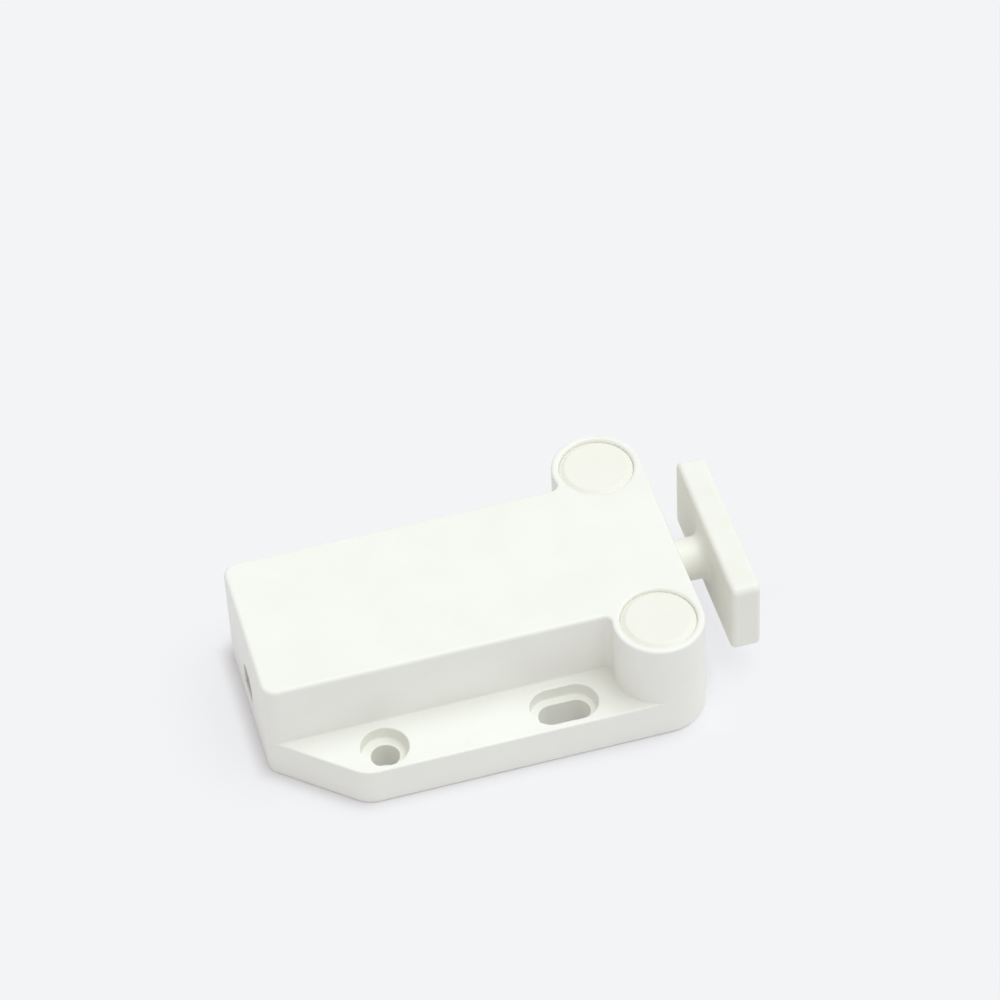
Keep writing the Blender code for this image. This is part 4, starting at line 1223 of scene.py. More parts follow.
def plate_skin(settings):
    """The plate with its runner rails, screw bosses, tongues, the follower's boss and round moulding marks
    underneath."""
    plate = settings.plate
    skin = Skin()
    under = skin.rims["bottom"]
    over = skin.rims["top"]
    lower = bottom_edge(plate.edge, 0.0)
    upper = level(plate.thickness)
    outline = plate_outline(settings)
    wall = carried(outline, lower, upper)
    stop = outline.points[-1]
    boss_top = plate.thickness + plate.boss_height
    boss_floor = plate.thickness + plate.gap
    marks = [(plate.mark_rear, 0.0), (plate.mark_front, 0.0)]
    for side in SIDES.values():
        half = mirrored(wall, side)
        skin.grid(half)
        under.append(half[:, 0])
        over.append(half[:, -1])
        skin.rims["rear"] += [half[-1, EDGE_ROWS - 1 :], tongue(skin, settings, side, stop[0])]
        over.append(rail(skin, settings, side))
        centre = POST * [1, side]
        over.append(boss(skin, plate, centre, plate.boss / 2, boss_top, plate.pilot / 2, boss_floor))
        marks.append(centre)
    for centre in marks:
        under.append(pocket(skin, circle(centre, plate.mark / 2), 0.0, plate.mark_depth))
    leg = FOLLOWER.low[0] + FOLLOWER.size[1] / 2, 0.0
    leg_boss = plate.follower_boss / 2, plate.follower_boss_top
    leg_floor = 2 * plate.gap
    over.append(boss(skin, plate, leg, *leg_boss, plate.leg_bore / 2, leg_floor))
    rivet_hole = circle(RIVET.middle[:2], plate.rivet_bore / 2)
    over.append(pocket(skin, rivet_hole, plate.thickness, plate.gap))
    skin.end_strips("rear", straight(stop, stop * FLIP), lower, upper)
    skin.close()
    return skin


class TOUCHLATCH_OT_base_plate(bpy.types.Operator):
    """Mould the base plate that closes the housing from below"""

    bl_idname = "touch_latch.base_plate"
    bl_label = "Base plate"

    def execute(self, context):
        plate_skin(context.scene.touch_latch).piece("base_plate", "cover", "white", "case")
        return {"FINISHED"}


# Plunger


def pierced_wall(skin, radius, bore):
    """A band of a round wall about the stem's axis, with the pin's hole through its top and its bottom.
    Each half is a sheet, unrolled to X and the turn about the axis, on which straight lines run from
    its border to the hole. Returns the hole's upper and lower ring, and the band's rear and front
    end."""
    reach = PIERCED_HALF * bore
    turns = np.linspace(0, HALF_TURN, (len(circle(AXIS, radius).points) + 1) // 2)
    side = np.linspace(reach, -reach, PIERCED_STEPS + 1)
    border = np.concatenate(
        [
            np.column_stack([np.full_like(turns, reach), turns]),
            np.column_stack([side, np.full_like(side, HALF_TURN)])[1:-1],
            np.column_stack([np.full_like(turns, -reach), turns[::-1]]),
            np.column_stack([-side, np.zeros_like(side)])[1:],
        ]
    )
    way = np.arctan2(radius * (border[:, 1] - QUARTER), border[:, 0])
    hole = np.column_stack([bore * np.cos(way), np.arccos(-bore * np.sin(way) / radius)])
    part = np.linspace(0, 1, PIERCED_ROWS)[:, None]
    along, turn = np.moveaxis(border[:, None] * (1 - part) + hole[:, None] * part, 2, 0)
    middle = PIN.middle[0]
    rings = []
    for upwards in (1, -1):
        up = AXIS_Z + upwards * radius * np.sin(turn)
        sheet = np.stack([middle + along, radius * np.cos(turn), up], axis=2)
        skin.grid(sheet)
        rings.append(sheet[:, -1])
    return *rings, middle - reach, middle + reach


def head_skin(settings):
    """The cross bar with rounded edges, the stem with a hollow root and the pin's hole, and the pocket
    in the bar's front."""
    plunger = settings.plunger
    skin = Skin()
    end, front = HEAD.low[0], HEAD.high[0]
    rear = front - plunger.bar_thickness
    outline = rounded_rectangle(AXIS, HEAD.size[1:], plunger.bar_corner)
    edges = bottom_edge(plunger.bar_edge, rear), top_edge(plunger.bar_edge, front)
    bar = forward(carried(outline, *edges))
    skin.grid(bar)
    radius = plunger.stem / 2
    *rings, band_rear, band_front = pierced_wall(skin, radius, PIN.size[0] / 2 + settings.slider.gap)
    skin.grid(np.stack(rings, axis=1))
    root = [(radius + plunger.stem_root + LAND, rear), (radius, rear), (radius, band_front)]
    stem = forward(turned(bent(root, plunger.stem_root).points, AXIS))
    skin.grid(stem)
    skin.fill(bar[:, 0], stem[:, 0])
    inner_end = bent([(radius, band_rear), (radius, end), (0.0, end)], plunger.stem_end)
    skin.grid(forward(turned(inner_end.points, AXIS)))
    pack = Box(POLES["lower"].low, POLES["upper"].high)
    mouth = rounded_rectangle(AXIS, pack.size[1:] + 2 * plunger.pocket_gap, plunger.pocket_corner)
    rim = top_edge(plunger.pack_edge, front).down()
    skin.fill(bar[:, -1], blind_hollow(skin, mouth, rim, pack.low[0] - plunger.pocket_gap))
    return skin


def block_skin(box, plunger):
    """A flat block with rounded corners and edges, standing on its long narrow side."""
    skin = Skin()
    outline = rounded_rectangle(box.middle[1:], box.size[1:], plunger.pack_corner)
    edges = bottom_edge(plunger.pack_edge, box.low[0]), top_edge(plunger.pack_edge, box.high[0])
    skin.fill(skin.capped(forward(carried(outline, *edges))))
    return skin


class TOUCHLATCH_OT_plunger(bpy.types.Operator):
    """Mould the cross bar with its stem"""

    bl_idname = "touch_latch.plunger"
    bl_label = "Plunger"

    def execute(self, context):
        head_skin(context.scene.touch_latch).piece("t_head", "bar", "bar", "plunger")
        return {"FINISHED"}


class TOUCHLATCH_OT_magnet_pack(bpy.types.Operator):
    """Set the magnet and its two pole plates into the bar's front"""

    bl_idname = "touch_latch.magnet_pack"
    bl_label = "Magnet pack"

    def execute(self, context):
        plunger = context.scene.touch_latch.plunger
        block_skin(MAGNET, plunger).piece("magnet", "block", "ferrite", "plunger")
        for name, box in POLES.items():
            block_skin(box, plunger).piece(f"pole_plate_{name}", "strip", "steel", "plunger")
        return {"FINISHED"}


# Springs and cam follower


def spring_points(box, side, springs):
    """Helix about a line along X: the pitch rises smoothly from the close end turns to the open middle
    ones. Returns the points, and the unit ray from the axis at each."""
    turns = np.linspace(0, springs.coils, springs.coils * POINTS_PER_COIL + 1)
    opening = smooth_step(turns, *END_TURNS) * smooth_step(springs.coils - turns, *END_TURNS)
    opened = np.concatenate([[0.0], np.cumsum((opening[1:] + opening[:-1]) / 2)])
    free = box.size[0] - springs.wire - springs.end_pitch * springs.coils
    x = box.low[0] + springs.wire / 2 + springs.end_pitch * turns + free * opened / opened[-1]
    radius = (box.size[2] - springs.wire) / 2
    around = FULL_TURN * turns
    rays = np.stack([np.zeros_like(x), side * np.cos(around), np.sin(around)], axis=1)
    axis = np.stack([x, np.full_like(x, box.middle[1]), np.full_like(x, AXIS_Z)], axis=1)
    return axis + radius * rays, rays


class TOUCHLATCH_OT_springs(bpy.types.Operator):
    """Wind the two ejector springs, which stretch between the housing and the slider"""

    bl_idname = "touch_latch.springs"
    bl_label = "Ejector springs"

    def execute(self, context):
        springs = context.scene.touch_latch.springs
        close = END_TURNS[1] * springs.end_pitch
        for name, side in SIDES.items():
            box = SPRINGS[name]
            points, rays = spring_points(box, side, springs)
            skin = Skin()
            skin.grid(wire(points, rays, springs.wire / 2))
            made = skin.piece(f"ejector_spring_{name}", "coil", "spring")
            start = (box.low[0] + close, box.middle[1], AXIS_Z)
            end = (box.high[0] - close, box.middle[1], AXIS_Z)
            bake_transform(made)
        return {"FINISHED"}


def follower_line(springs):
    """The follower's middle line: a leg up from the plate, a long arm, and a tip up into the cam
    groove."""
    leg = FOLLOWER.low[0] + FOLLOWER.size[1] / 2
    arm = springs.follower_arm
    corners = [(leg, FOLLOWER.low[2]), (leg, arm), (WIRE_TIP, arm), (WIRE_TIP, FOLLOWER.high[2])]
    return np.insert(bent(corners, springs.bend).points, 1, 0.0, axis=1)


class TOUCHLATCH_OT_follower(bpy.types.Operator):
    """Bend the wire that follows the heart-shaped cam"""

    bl_idname = "touch_latch.follower"
    bl_label = "Cam follower"

    def execute(self, context):
        line = follower_line(context.scene.touch_latch.springs)
        sides_way = np.tile([0.0, 1.0, 0.0], (len(line), 1))
        skin = Skin()
        skin.grid(wire(line, sides_way, FOLLOWER.size[1] / 2))
        skin.piece("cam_follower", "wire", "spring", "case")
        return {"FINISHED"}


# Slider


def track_loop(slider):
    """The cam groove's outer edge: a wide front round the heart, with teeth that turn the wire aside,
    narrowing to one lane at the rear. Counter-clockwise."""
    tip = FOLLOWER.size[1] / 2 + slider.gap
    half = slider.heart_width / 2 + slider.lane
    front = WIRE_TIP - SLIDE[0] + tip
    narrow = WIRE_TIP - slider.heart_length
    rear = WIRE_TIP - SLIDE[1] - tip
    corners = [
        (front, -slider.tooth / 2),
        (front + slider.tooth, slider.lane),
        (front, half),
        (narrow + slider.lane * 2, half),
        (narrow - slider.lane, tip),
        (rear, tip),
        (rear, -tip),
        (narrow - slider.lane, -tip),
        (narrow + slider.lane * 2, -half),
        (front, -half),
        (front + slider.tooth / 2, -slider.lane),
    ]
    return rounded_loop(corners, slider.cam_corner)


def heart_loop(slider):
    """The heart-shaped island: a square notch in front that holds the wire, and a point at the rear.
    Counter-clockwise."""
    depth = slider.notch
    notch = WIRE_TIP - (FOLLOWER.size[1] / 2 + slider.gap) * math.sqrt(2)
    half = slider.heart_width / 2
    left = [(notch + depth, depth), (notch + depth / 2, half), (notch - depth, half)]
    right = [(x, -y) for x, y in reversed(left)]
    corners = [(notch, 0.0), *left, (WIRE_TIP - slider.heart_length, 0.0), *right]
    return rounded_loop(corners, slider.cam_corner)


def cam_groove(skin, slider):
    """The groove in the slider's underside, between the track's wall and the heart's."""
    low = SLIDER.low[2]
    profiles = bottom_edge(slider.cam_lip, low), ceiling(slider.cam_lip, low + slider.groove)
    walls = [carried(line, *profiles) for line in (inward(track_loop(slider)), heart_loop(slider))]
    for wall in walls:
        skin.grid(wall)
        skin.rims["bottom"].append(wall[:, 0])
    skin.fill(*(wall[:, -1] for wall in walls))


def stem_socket(skin, settings):
    """The stem's socket in the slider's front, and the pin's hole across it, from the slider's top to
    under the pin."""
    slider = settings.slider
    front, _, top = SLIDER.high
    radius = settings.plunger.stem / 2 + slider.gap
    above, below, band_rear, band_front = pierced_wall(skin, radius, PIN.size[0] / 2 + slider.gap)
    hole_top = raised(above[:, :2], top)
    skin.grid(np.stack([above, hole_top], axis=1))
    skin.rims["top"].append(hole_top)
    floor = raised(below[:, :2], PIN.low[2] - slider.gap)
    skin.capped(np.stack([below, floor], axis=1))
    outline = circle(AXIS, radius)
    mouth = forward(carried(inward(outline), top_edge(slider.lip, front).down(), level(band_front)))
    skin.grid(mouth)
    skin.rims["front"].append(mouth[:, 0])
    blind_hollow(skin, outline, level(band_rear), HEAD.low[0] - slider.gap)


def slider_skin(settings):
    """A block with rounded edges, the stem's socket in front, two spring bores behind, the pin's hole
    on top and the cam groove underneath."""
    slider = settings.slider
    skin = Skin()
    rims = skin.rims
    low, high = SLIDER
    lower = bottom_edge(slider.edge, low[2])
    upper = top_edge(slider.edge, high[2])
    inner = high[1] - slider.corner - LAND
    route = [(high[0], inner), (high[0], high[1]), (low[0], high[1]), (low[0], inner)]
    wall = carried(bent(route, slider.corner), lower, upper)
    wall_rows = slice(EDGE_ROWS - 1, EDGE_ROWS + 1)  # between the lower and the upper edge
    spring = SPRINGS["left"]
    bore = spring.size[2] / 2 + slider.gap
    bore_end = spring.high[0] + slider.gap
    for side in SIDES.values():
        half = mirrored(wall, side)
        skin.grid(half)
        rims["bottom"].append(half[:, 0])
        rims["top"].append(half[:, -1])
        rims["front"].append(half[0, wall_rows])
        rims["rear"].append(half[-1, wall_rows])
        outline = circle((spring.middle[1] * side, AXIS_Z), bore)
        mouth = bottom_edge(slider.lip, low[0])
        rims["rear"].append(blind_hollow(skin, outline, mouth, bore_end))
    skin.end_strips("front", straight((high[0], -inner), (high[0], inner)), lower, upper)
    skin.end_strips("rear", straight((low[0], inner), (low[0], -inner)), lower, upper)
    stem_socket(skin, settings)
    cam_groove(skin, slider)
    skin.close()
    return skin


class TOUCHLATCH_OT_slider(bpy.types.Operator):
    """Mould the slider that the stem, the springs and the cam follower work on"""

    bl_idname = "touch_latch.slider"
    bl_label = "Slider"

    def execute(self, context):
        slider_skin(context.scene.touch_latch).piece("slider", "block", "slider", "plunger")
        return {"FINISHED"}


# Small hardware


def pin_line(low, high, radius, edge):
    """Half the section of a round pin with rounded ends."""
    return bent([(0.0, high), (radius, high), (radius, low), (0.0, low)], edge).points


def rivet_line(hardware):
    """Half the section of a rivet with a domed head."""
    low, top = RIVET.low[2], RIVET.high[2]
    under = top - hardware.rivet_head
    head = RIVET.size[0] / 2
    shank = hardware.rivet_shank / 2
    corners = [(0.0, top), (head, top), (head, under), (shank, under), (shank, low), (0.0, low)]
    edge = hardware.rivet_edge
    return bent(corners, [hardware.rivet_dome, edge, edge, edge]).points


class TOUCHLATCH_OT_turned_steel(bpy.types.Operator):
    """Turn the stem's pin, the springs' guide rods and the leaf spring's rivet"""

    bl_idname = "touch_latch.turned_steel"
    bl_label = "Turned steel"

    def execute(self, context):
        hardware = context.scene.touch_latch.hardware
        pin = pin_line(PIN.low[2], PIN.high[2], PIN.size[0] / 2, hardware.pin_edge)
        turned_skin(pin, PIN.middle[:2]).piece("stem_pin", "dowel", "steel", "plunger")
        rivet = turned_skin(rivet_line(hardware), RIVET.middle[:2])
        rivet.piece("leaf_rivet", "stud", "steel", "case")
        for name, box in RODS.items():
            rod = pin_line(box.low[0], box.high[0], box.size[1] / 2, hardware.rod_edge)
            skin = turned_skin(rod, box.middle[1:], lying=True)
            skin.piece(f"spring_rod_{name}", "guide", "steel", "case")
        return {"FINISHED"}


class TOUCHLATCH_OT_buffer(bpy.types.Operator):
    """Mould the rubber ring that the slider stops against"""

    bl_idname = "touch_latch.buffer"
    bl_label = "Front buffer"

    def execute(self, context):
        settings = context.scene.touch_latch
        outer = BUFFER.size[1] / 2
        bore = settings.plunger.stem / 2 + settings.housing.bore_gap
        middle = (outer + bore) / 2, BUFFER.middle[0]
        size = outer - bore, BUFFER.size[0]
        section = rounded_rectangle(middle, size, settings.hardware.buffer_edge)
        skin = turned_skin(section.points, AXIS, lying=True)
        skin.piece("front_buffer", "ring", "rubber", "case")
        return {"FINISHED"}


def leaf_skin(hardware, rivet_bore):
    """A flat foot with the rivet's hole, and the section at its front carried on along a smooth rise to
    the wire and a tip that curls down as a parabola."""
    low, high = LEAF
    over = low[2] + hardware.leaf_thickness
    rise = low[0] + hardware.leaf_foot
    crest = rise + hardware.leaf_rise
    route = [(rise, high[1]), (low[0], high[1]), (low[0], low[1]), (rise, low[1])]
    edges = bottom_edge(hardware.leaf_edge, low[2]), top_edge(hardware.leaf_edge, over)
    foot_wall = carried(bent(route, hardware.leaf_corner), *edges)
    section = np.concatenate([foot_wall[0], foot_wall[-1, ::-1], foot_wall[:1, 0]])
    spans = np.linspace(rise, crest, LEAF_STEPS), np.linspace(crest, high[0], LEAF_STEPS)[1:]
    x = np.concatenate(spans)
    lift = (high[2] - over) * smooth_step(x, rise, crest)
    curl = hardware.leaf_drop * np.clip((x - crest) / (high[0] - crest), 0.0, 1.0) ** 2
    shift = np.stack([x - rise, np.zeros_like(x), lift - curl], axis=1)
    strip = section + shift[:, None]
    hole = carried(inward(circle(RIVET.middle[:2], rivet_bore / 2)), level(low[2]), level(over))
    skin = Skin()
    for grid in (foot_wall, strip, hole):
        skin.grid(grid)
    skin.fill(strip[-1])
    for row in (0, -1):
        skin.fill(foot_wall[:, row], foot_wall[[-1, 0], row], hole[:, row])
    return skin


class TOUCHLATCH_OT_leaf_spring(bpy.types.Operator):
    """Bend the leaf spring that presses the follower into the cam groove"""

    bl_idname = "touch_latch.leaf_spring"
    bl_label = "Leaf spring"

    def execute(self, context):
        settings = context.scene.touch_latch
        skin = leaf_skin(settings.hardware, settings.plate.rivet_bore)
        skin.piece("leaf_spring", "strip", "spring", "case")
        return {"FINISHED"}


def screw_line(box, screw):
    """Half the section of a screw, from the middle of its flat to its point, with fine steps on flat
    and shank."""
    top, low = box.high[2], box.low[2]
    under = top - screw.head_height
    head = box.size[0] / 2
    flat = screw.flat / 2
    shank = screw.shank / 2
    tip = shank / 2
    corners = [
        (flat - screw.edge, top),
        (flat, top),
        (head, top - screw.crown),
        (head, under),
        (shank, under),
        (shank, under - screw.edge),
    ]
    crown = bent(corners, screw.rounding).points
    middle = np.linspace(0.0, crown[0, 0], FLAT_STEPS, endpoint=False)
    z = np.linspace(crown[-1, 1], low, SHANK_STEPS)[1:]
    taper = np.interp(z, [low, low + screw.point], [tip, shank])
    flat_line = np.column_stack([middle, np.full_like(middle, top)])
    return np.concatenate([flat_line, crown, np.column_stack([taper, z]), [(0.0, low)]])


def screw_skin(box, screw):
    """A turned line whose shank is cut by a helical groove, and whose flat is cut by a cross. The
    groove's depth follows the phase of height over pitch less the turn. The cross is the larger of two
    sunk bars."""
    top = box.high[2]
    radius, height = screw_line(box, screw).T
    around = np.linspace(0, FULL_TURN, SCREW_SIDES + 1)
    phase = (height / screw.pitch - around[:, None] / FULL_TURN) % 1.0
    below = top - screw.head_height - screw.neck - height
    threaded = smooth_step(below, 0.0, screw.pitch) * (radius > 0)
    reach = radius - screw.thread * threaded * np.abs(2 * phase - 1)
    rays = ray(around)
    away = np.abs(rays[:, None] * radius[:, None])
    long_way = smooth_step(screw.cross_length / 2 - away, 0.0, screw.cross_draft)
    short_way = smooth_step(screw.cross_width / 2 - away, 0.0, screw.cross_draft)
    bars = (long_way * short_way[..., ::-1]).max(axis=2)
    up = height - screw.cross_depth * bars * (height == top)
    skin = Skin()
    skin.grid(raised(box.middle[:2] + rays[:, None] * reach[..., None], up))
    return skin


class TOUCHLATCH_OT_screws(bpy.types.Operator):
    """Cut the two case screws under the post caps"""

    bl_idname = "touch_latch.screws"
    bl_label = "Post screws"

    def execute(self, context):
        for name, box in SCREWS.items():
            skin = screw_skin(box, context.scene.touch_latch.screws)
            skin.piece(f"post_screw_{name}", "bolt", "steel", "case")
        return {"FINISHED"}


# Materials

NOISE_RANGE = (0.3, 0.7)  # between which nearly all of a noise's values lie
CLOUD_DETAIL = 4.0
BUMP_DETAIL = 2.0


def node(tree, kind, inputs=None, **options):
    """A node with its options set. An input that is a socket is linked, and any other is a value."""
    made = tree.nodes.new(kind)
    for name, value in options.items():
        setattr(made, name, value)
    for name, value in (inputs or {}).items():
        if isinstance(value, bpy.types.NodeSocket):
            tree.links.new(value, made.inputs[name])
        else:
            made.inputs[name].default_value = value
    return made


def maths(tree, operation, *values):
    """Result of a Math node."""
    return node(tree, "ShaderNodeMath", dict(enumerate(values)), operation=operation).outputs["Value"]


def noise(tree, place, grain, detail):
    """Noise whose patches are about grain across."""
    inputs = {"Vector": place, "Scale": 1 / grain, "Detail": detail}
    return node(tree, "ShaderNodeTexNoise", inputs).outputs["Fac"]


def spread(tree, value, low, high):
    """A noise's usual range, spread from low to high."""
    start, stop = NOISE_RANGE
    inputs = {"Value": value, "From Min": start, "From Max": stop, "To Min": low, "To Max": high}
    return node(tree, "ShaderNodeMapRange", inputs).outputs["Result"]


def two_tone(tree, value, *tones):
    """A noise's usual range, as a ramp between two colours."""
    ramp = node(tree, "ShaderNodeValToRGB", {"Fac": value})
    for element, position, tone in zip(ramp.color_ramp.elements, NOISE_RANGE, tones):
        element.position = position
        element.color = (*tone, 1.0)
    return ramp.outputs["Color"]


class Surface(NamedTuple):
    """What a finish is made of: patches of colour, the range of roughness, and a bump of two sizes."""

    patch: float
    roughness: tuple
    grain: float
    grain_height: float
    wave: float
    wave_height: float
    metallic: float = 0.0


MOULDED = Surface(9 * MM, (0.34, 0.46), 0.22 * MM, 0.0015 * MM, 7 * MM, 0.01 * MM)
SATIN = Surface(6 * MM, (0.42, 0.54), 0.3 * MM, 0.003 * MM, 5 * MM, 0.01 * MM)
PLATED = Surface(2 * MM, (0.2, 0.36), 0.12 * MM, 0.001 * MM, 1.5 * MM, 0.004 * MM, 1.0)
DRAWN = Surface(1.2 * MM, (0.26, 0.42), 0.1 * MM, 0.002 * MM, 1 * MM, 0.004 * MM, 1.0)
SINTERED = Surface(0.8 * MM, (0.5, 0.7), 0.15 * MM, 0.012 * MM, 2 * MM, 0.01 * MM)
CURED = Surface(3 * MM, (0.62, 0.8), 0.3 * MM, 0.01 * MM, 2 * MM, 0.01 * MM)


class Finish(NamedTuple):
    """A material's name, the record's slot that it belongs to, and its surface. Its colours are
    settings."""

    material: str
    slot: str
    surface: Surface


FINISHES = {
    "white": Finish("moulded_white", "white_plastic", MOULDED),
    "bar": Finish("moulded_bar_white", "white_plastic", SATIN),
    "cap": Finish("moulded_cap_white", "cap_plastic", SATIN),
    "slider": Finish("slider_grey", "slider_plastic", SATIN),
    "steel": Finish("zinc_steel", "bright_steel", PLATED),
    "spring": Finish("drawn_spring_steel", "spring_steel", DRAWN),
    "ferrite": Finish("sintered_ferrite", "magnet_ferrite", SINTERED),
    "rubber": Finish("cured_rubber", "black_rubber", CURED),
}


def finish(kind):
    """A material of two close tones in cloudy patches, uneven roughness, and a fine grain over slow waves.
    It is made once and then found again by its name."""
    name, _, surface = FINISHES[kind]
    if name in bpy.data.materials:
        return bpy.data.materials[name]
    colours = bpy.context.scene.touch_latch.finishes
    material = bpy.data.materials.new(name)
    material.use_nodes = True
    tree = material.node_tree
    shader = tree.nodes["Principled BSDF"]
    place = node(tree, "ShaderNodeTexCoord").outputs["Object"]
    cloud = noise(tree, place, surface.patch, CLOUD_DETAIL)
    tone = two_tone(tree, cloud, getattr(colours, f"{kind}_shade"), getattr(colours, kind))
    tree.links.new(tone, shader.inputs["Base Color"])
    tree.links.new(spread(tree, cloud, *surface.roughness), shader.inputs["Roughness"])
    shader.inputs["Metallic"].default_value = surface.metallic
    wave = noise(tree, place, surface.wave, BUMP_DETAIL)
    slow = node(tree, "ShaderNodeBump", {"Height": wave, "Distance": surface.wave_height})
    grain = noise(tree, place, surface.grain, BUMP_DETAIL)
    inputs = {"Height": grain, "Distance": surface.grain_height, "Normal": slow.outputs["Normal"]}
    fine = node(tree, "ShaderNodeBump", inputs)
    tree.links.new(fine.outputs["Normal"], shader.inputs["Normal"])
    return material


# Stage


def foot_distance(tree, housing):
    """Distance from the housing's foot: the largest of the distances past the lines of its front and
    rear, and of the side and slope of both flanges."""
    edge = shell_outlines(housing).edge
    slope = edge.normals[-1]
    past_slope = slope @ edge.points[-1]
    lines = [((1, 0), FRONT_X), ((-1, 0), -REAR_X)]
    for side in SIDES.values():
        lines += [((0, side), FLANGE_HALF), (slope * [1, side], past_slope)]
    place = node(tree, "ShaderNodeTexCoord").outputs["Object"]
    distances = []
    for normal, offset in lines:
        inputs = {0: place, 1: (*normal, 0.0)}
        across = node(tree, "ShaderNodeVectorMath", inputs, operation="DOT_PRODUCT").outputs["Value"]
        distances.append(maths(tree, "SUBTRACT", across, offset))
    return reduce(partial(maths, tree, "MAXIMUM"), distances)


def floor_material(stage, housing):
    """Pale floor. To the camera, and in reflections, it is partly its own plain colour, and the rest
    takes the lamps' light and the part's shadow, most of all along the part's foot. Where nothing
    shades it, the lit colour under sky and key lamp is the plain colour. All other rays see a plain
    diffuse floor."""
    material = bpy.data.materials.new("pale_floor")
    material.use_nodes = True
    tree = material.node_tree
    tree.nodes.clear()
    key = stage.key * math.sin(stage.key_height) / math.pi
    light = stage.sky * np.array(stage.sky_tint) + key * np.array(stage.key_tint)
    albedo = np.array(stage.floor) / light
    fading = {
        "Value": maths(tree, "ABSOLUTE", foot_distance(tree, housing)),
        "From Max": stage.contact_reach,
        "To Min": stage.contact,
        "To Max": stage.shadow,
    }
    taken = node(tree, "ShaderNodeMapRange", fading, interpolation_type="SMOOTHSTEP").outputs["Result"]
    path = node(tree, "ShaderNodeLightPath").outputs
    seen = path["Is Camera Ray"]
    for kind in ("Is Glossy Ray", "Is Transmission Ray"):
        seen = maths(tree, "MAXIMUM", seen, path[kind])
    bounce = node(tree, "ShaderNodeBsdfDiffuse", {"Color": (*stage.bounce, 1.0)}).outputs["BSDF"]
    lit = node(tree, "ShaderNodeBsdfDiffuse", {"Color": (*albedo, 1.0)}).outputs["BSDF"]
    own = node(tree, "ShaderNodeEmission", {"Color": (*stage.floor, 1.0)}).outputs["Emission"]
    shown = node(tree, "ShaderNodeMixShader", {0: taken, 1: own, 2: lit}).outputs["Shader"]
    mixed = node(tree, "ShaderNodeMixShader", {0: seen, 1: bounce, 2: shown}).outputs["Shader"]
    node(tree, "ShaderNodeOutputMaterial", {"Surface": mixed})
    return material


def make_floor(stage, housing):
    """A square at one height, as a grid of two by two points."""
    side = np.array([-stage.floor_half, stage.floor_half])
    corners = raised(np.stack(np.meshgrid(side, side, indexing="ij"), axis=2), -stage.floor_drop)
    mesh = bpy.data.meshes.new("floor")
    mesh.from_pydata(corners.reshape(-1, 3).tolist(), [], [(0, 2, 3, 1)])
    mesh.materials.append(floor_material(stage, housing))
    floor = bpy.data.objects.new("floor", mesh)
    bpy.context.scene.collection.objects.link(floor)


def looking_along(back, right, place):
    """The matrix of a lamp or camera at a place, whose back and right point the given ways."""
    rotation = np.stack([right, np.cross(back, right), back], axis=1)
    return Matrix.Translation(place) @ Matrix(rotation.tolist()).to_4x4()


def make_light(stage):
    """An even sky, and one wide lamp from above the plunger's end."""
    world = bpy.data.worlds.new("studio")
    world.use_nodes = True
    sky = world.node_tree.nodes["Background"].inputs
    sky["Color"].default_value = (*stage.sky_tint, 1.0)
    sky["Strength"].default_value = stage.sky
    bpy.context.scene.world = world
    lamp = bpy.data.lights.new("key", "SUN")
    lamp.energy = stage.key
    lamp.color = stage.key_tint
    lamp.angle = stage.key_spread
    key = bpy.data.objects.new("key", lamp)
    level_ray = ray(stage.key_turn)
    way = np.append(level_ray * math.cos(stage.key_height), math.sin(stage.key_height))
    key.matrix_world = looking_along(way, np.append(-right_of(level_ray), 0.0), way)
    bpy.context.scene.collection.objects.link(key)


def make_camera(stage):
    """A camera at a distance from its target, turned, raised and rolled to the photograph's view."""
    data = bpy.data.cameras.new("camera")
    data.lens = stage.lens
    data.sensor_width = stage.sensor
    camera = bpy.data.objects.new("camera", data)
    bpy.context.scene.collection.objects.link(camera)
    level_ray = ray(stage.turn)
    back = np.append(right_of(level_ray) * math.cos(stage.height), math.sin(stage.height))
    right = np.append(level_ray, 0.0)
    up = np.cross(back, right)
    rolled = math.cos(stage.roll) * right + math.sin(stage.roll) * up
    camera.matrix_world = looking_along(back, rolled, np.array(stage.target) + stage.distance * back)
    bpy.context.scene.camera = camera


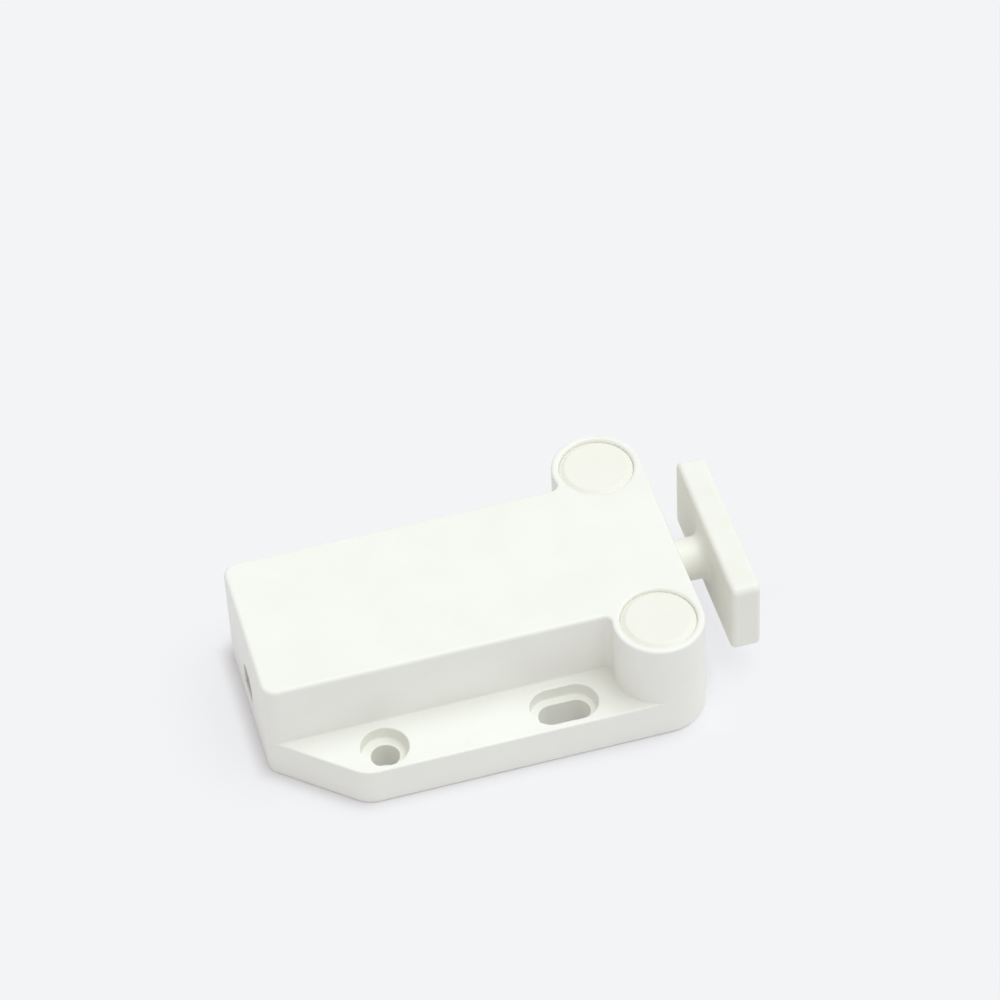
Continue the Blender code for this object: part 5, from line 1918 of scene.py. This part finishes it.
class TOUCHLATCH_OT_stage(bpy.types.Operator):
    """Lay the floor, and set up the lamps and the camera"""

    bl_idname = "touch_latch.stage"
    bl_label = "Stage"

    def execute(self, context):
        settings = context.scene.touch_latch
        make_floor(settings.stage, settings.housing)
        make_light(settings.stage)
        make_camera(settings.stage)
        context.scene.view_settings.view_transform = "Standard"
        return {"FINISHED"}


# Add-on

PROPERTY_GROUPS = (
    HousingSizes,
    HoleSizes,
    PostSizes,
    PlateSizes,
    PlungerSizes,
    SpringSizes,
    SliderSizes,
    HardwareSizes,
    ScrewSizes,
    Finishes,
    StageSettings,
    LatchSettings,
)
OPERATORS = (
    TOUCHLATCH_OT_housing,
    TOUCHLATCH_OT_caps,
    TOUCHLATCH_OT_base_plate,
    TOUCHLATCH_OT_plunger,
    TOUCHLATCH_OT_magnet_pack,
    TOUCHLATCH_OT_springs,
    TOUCHLATCH_OT_follower,
    TOUCHLATCH_OT_slider,
    TOUCHLATCH_OT_turned_steel,
    TOUCHLATCH_OT_buffer,
    TOUCHLATCH_OT_leaf_spring,
    TOUCHLATCH_OT_screws,
    TOUCHLATCH_OT_stage,
)


class TOUCHLATCH_PT_panel(bpy.types.Panel):
    """The latch's pieces and their settings"""

    bl_idname = "TOUCHLATCH_PT_panel"
    bl_label = "Touch Latch"
    bl_space_type = "VIEW_3D"
    bl_region_type = "UI"
    bl_category = "Touch Latch"

    def draw(self, context):
        settings = context.scene.touch_latch
        for operator in OPERATORS:
            self.layout.operator(operator.bl_idname)
        for group in LatchSettings.__annotations__:
            held = getattr(settings, group)
            part = self.layout.box()
            part.label(text=group.capitalize())
            for name in held.__annotations__:
                part.prop(held, name)


CLASSES = (*PROPERTY_GROUPS, *OPERATORS, TOUCHLATCH_PT_panel)


def register():
    for made in CLASSES:
        bpy.utils.register_class(made)
    bpy.types.Scene.touch_latch = PointerProperty(type=LatchSettings)


def unregister():
    del bpy.types.Scene.touch_latch
    for made in reversed(CLASSES):
        bpy.utils.unregister_class(made)


def main():
    """Registers the add-on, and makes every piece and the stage."""
    register()
    for operator in OPERATORS:
        name = operator.bl_idname.split(".")[1]
        getattr(bpy.ops.touch_latch, name)()


if __name__ == "__main__":
    main()
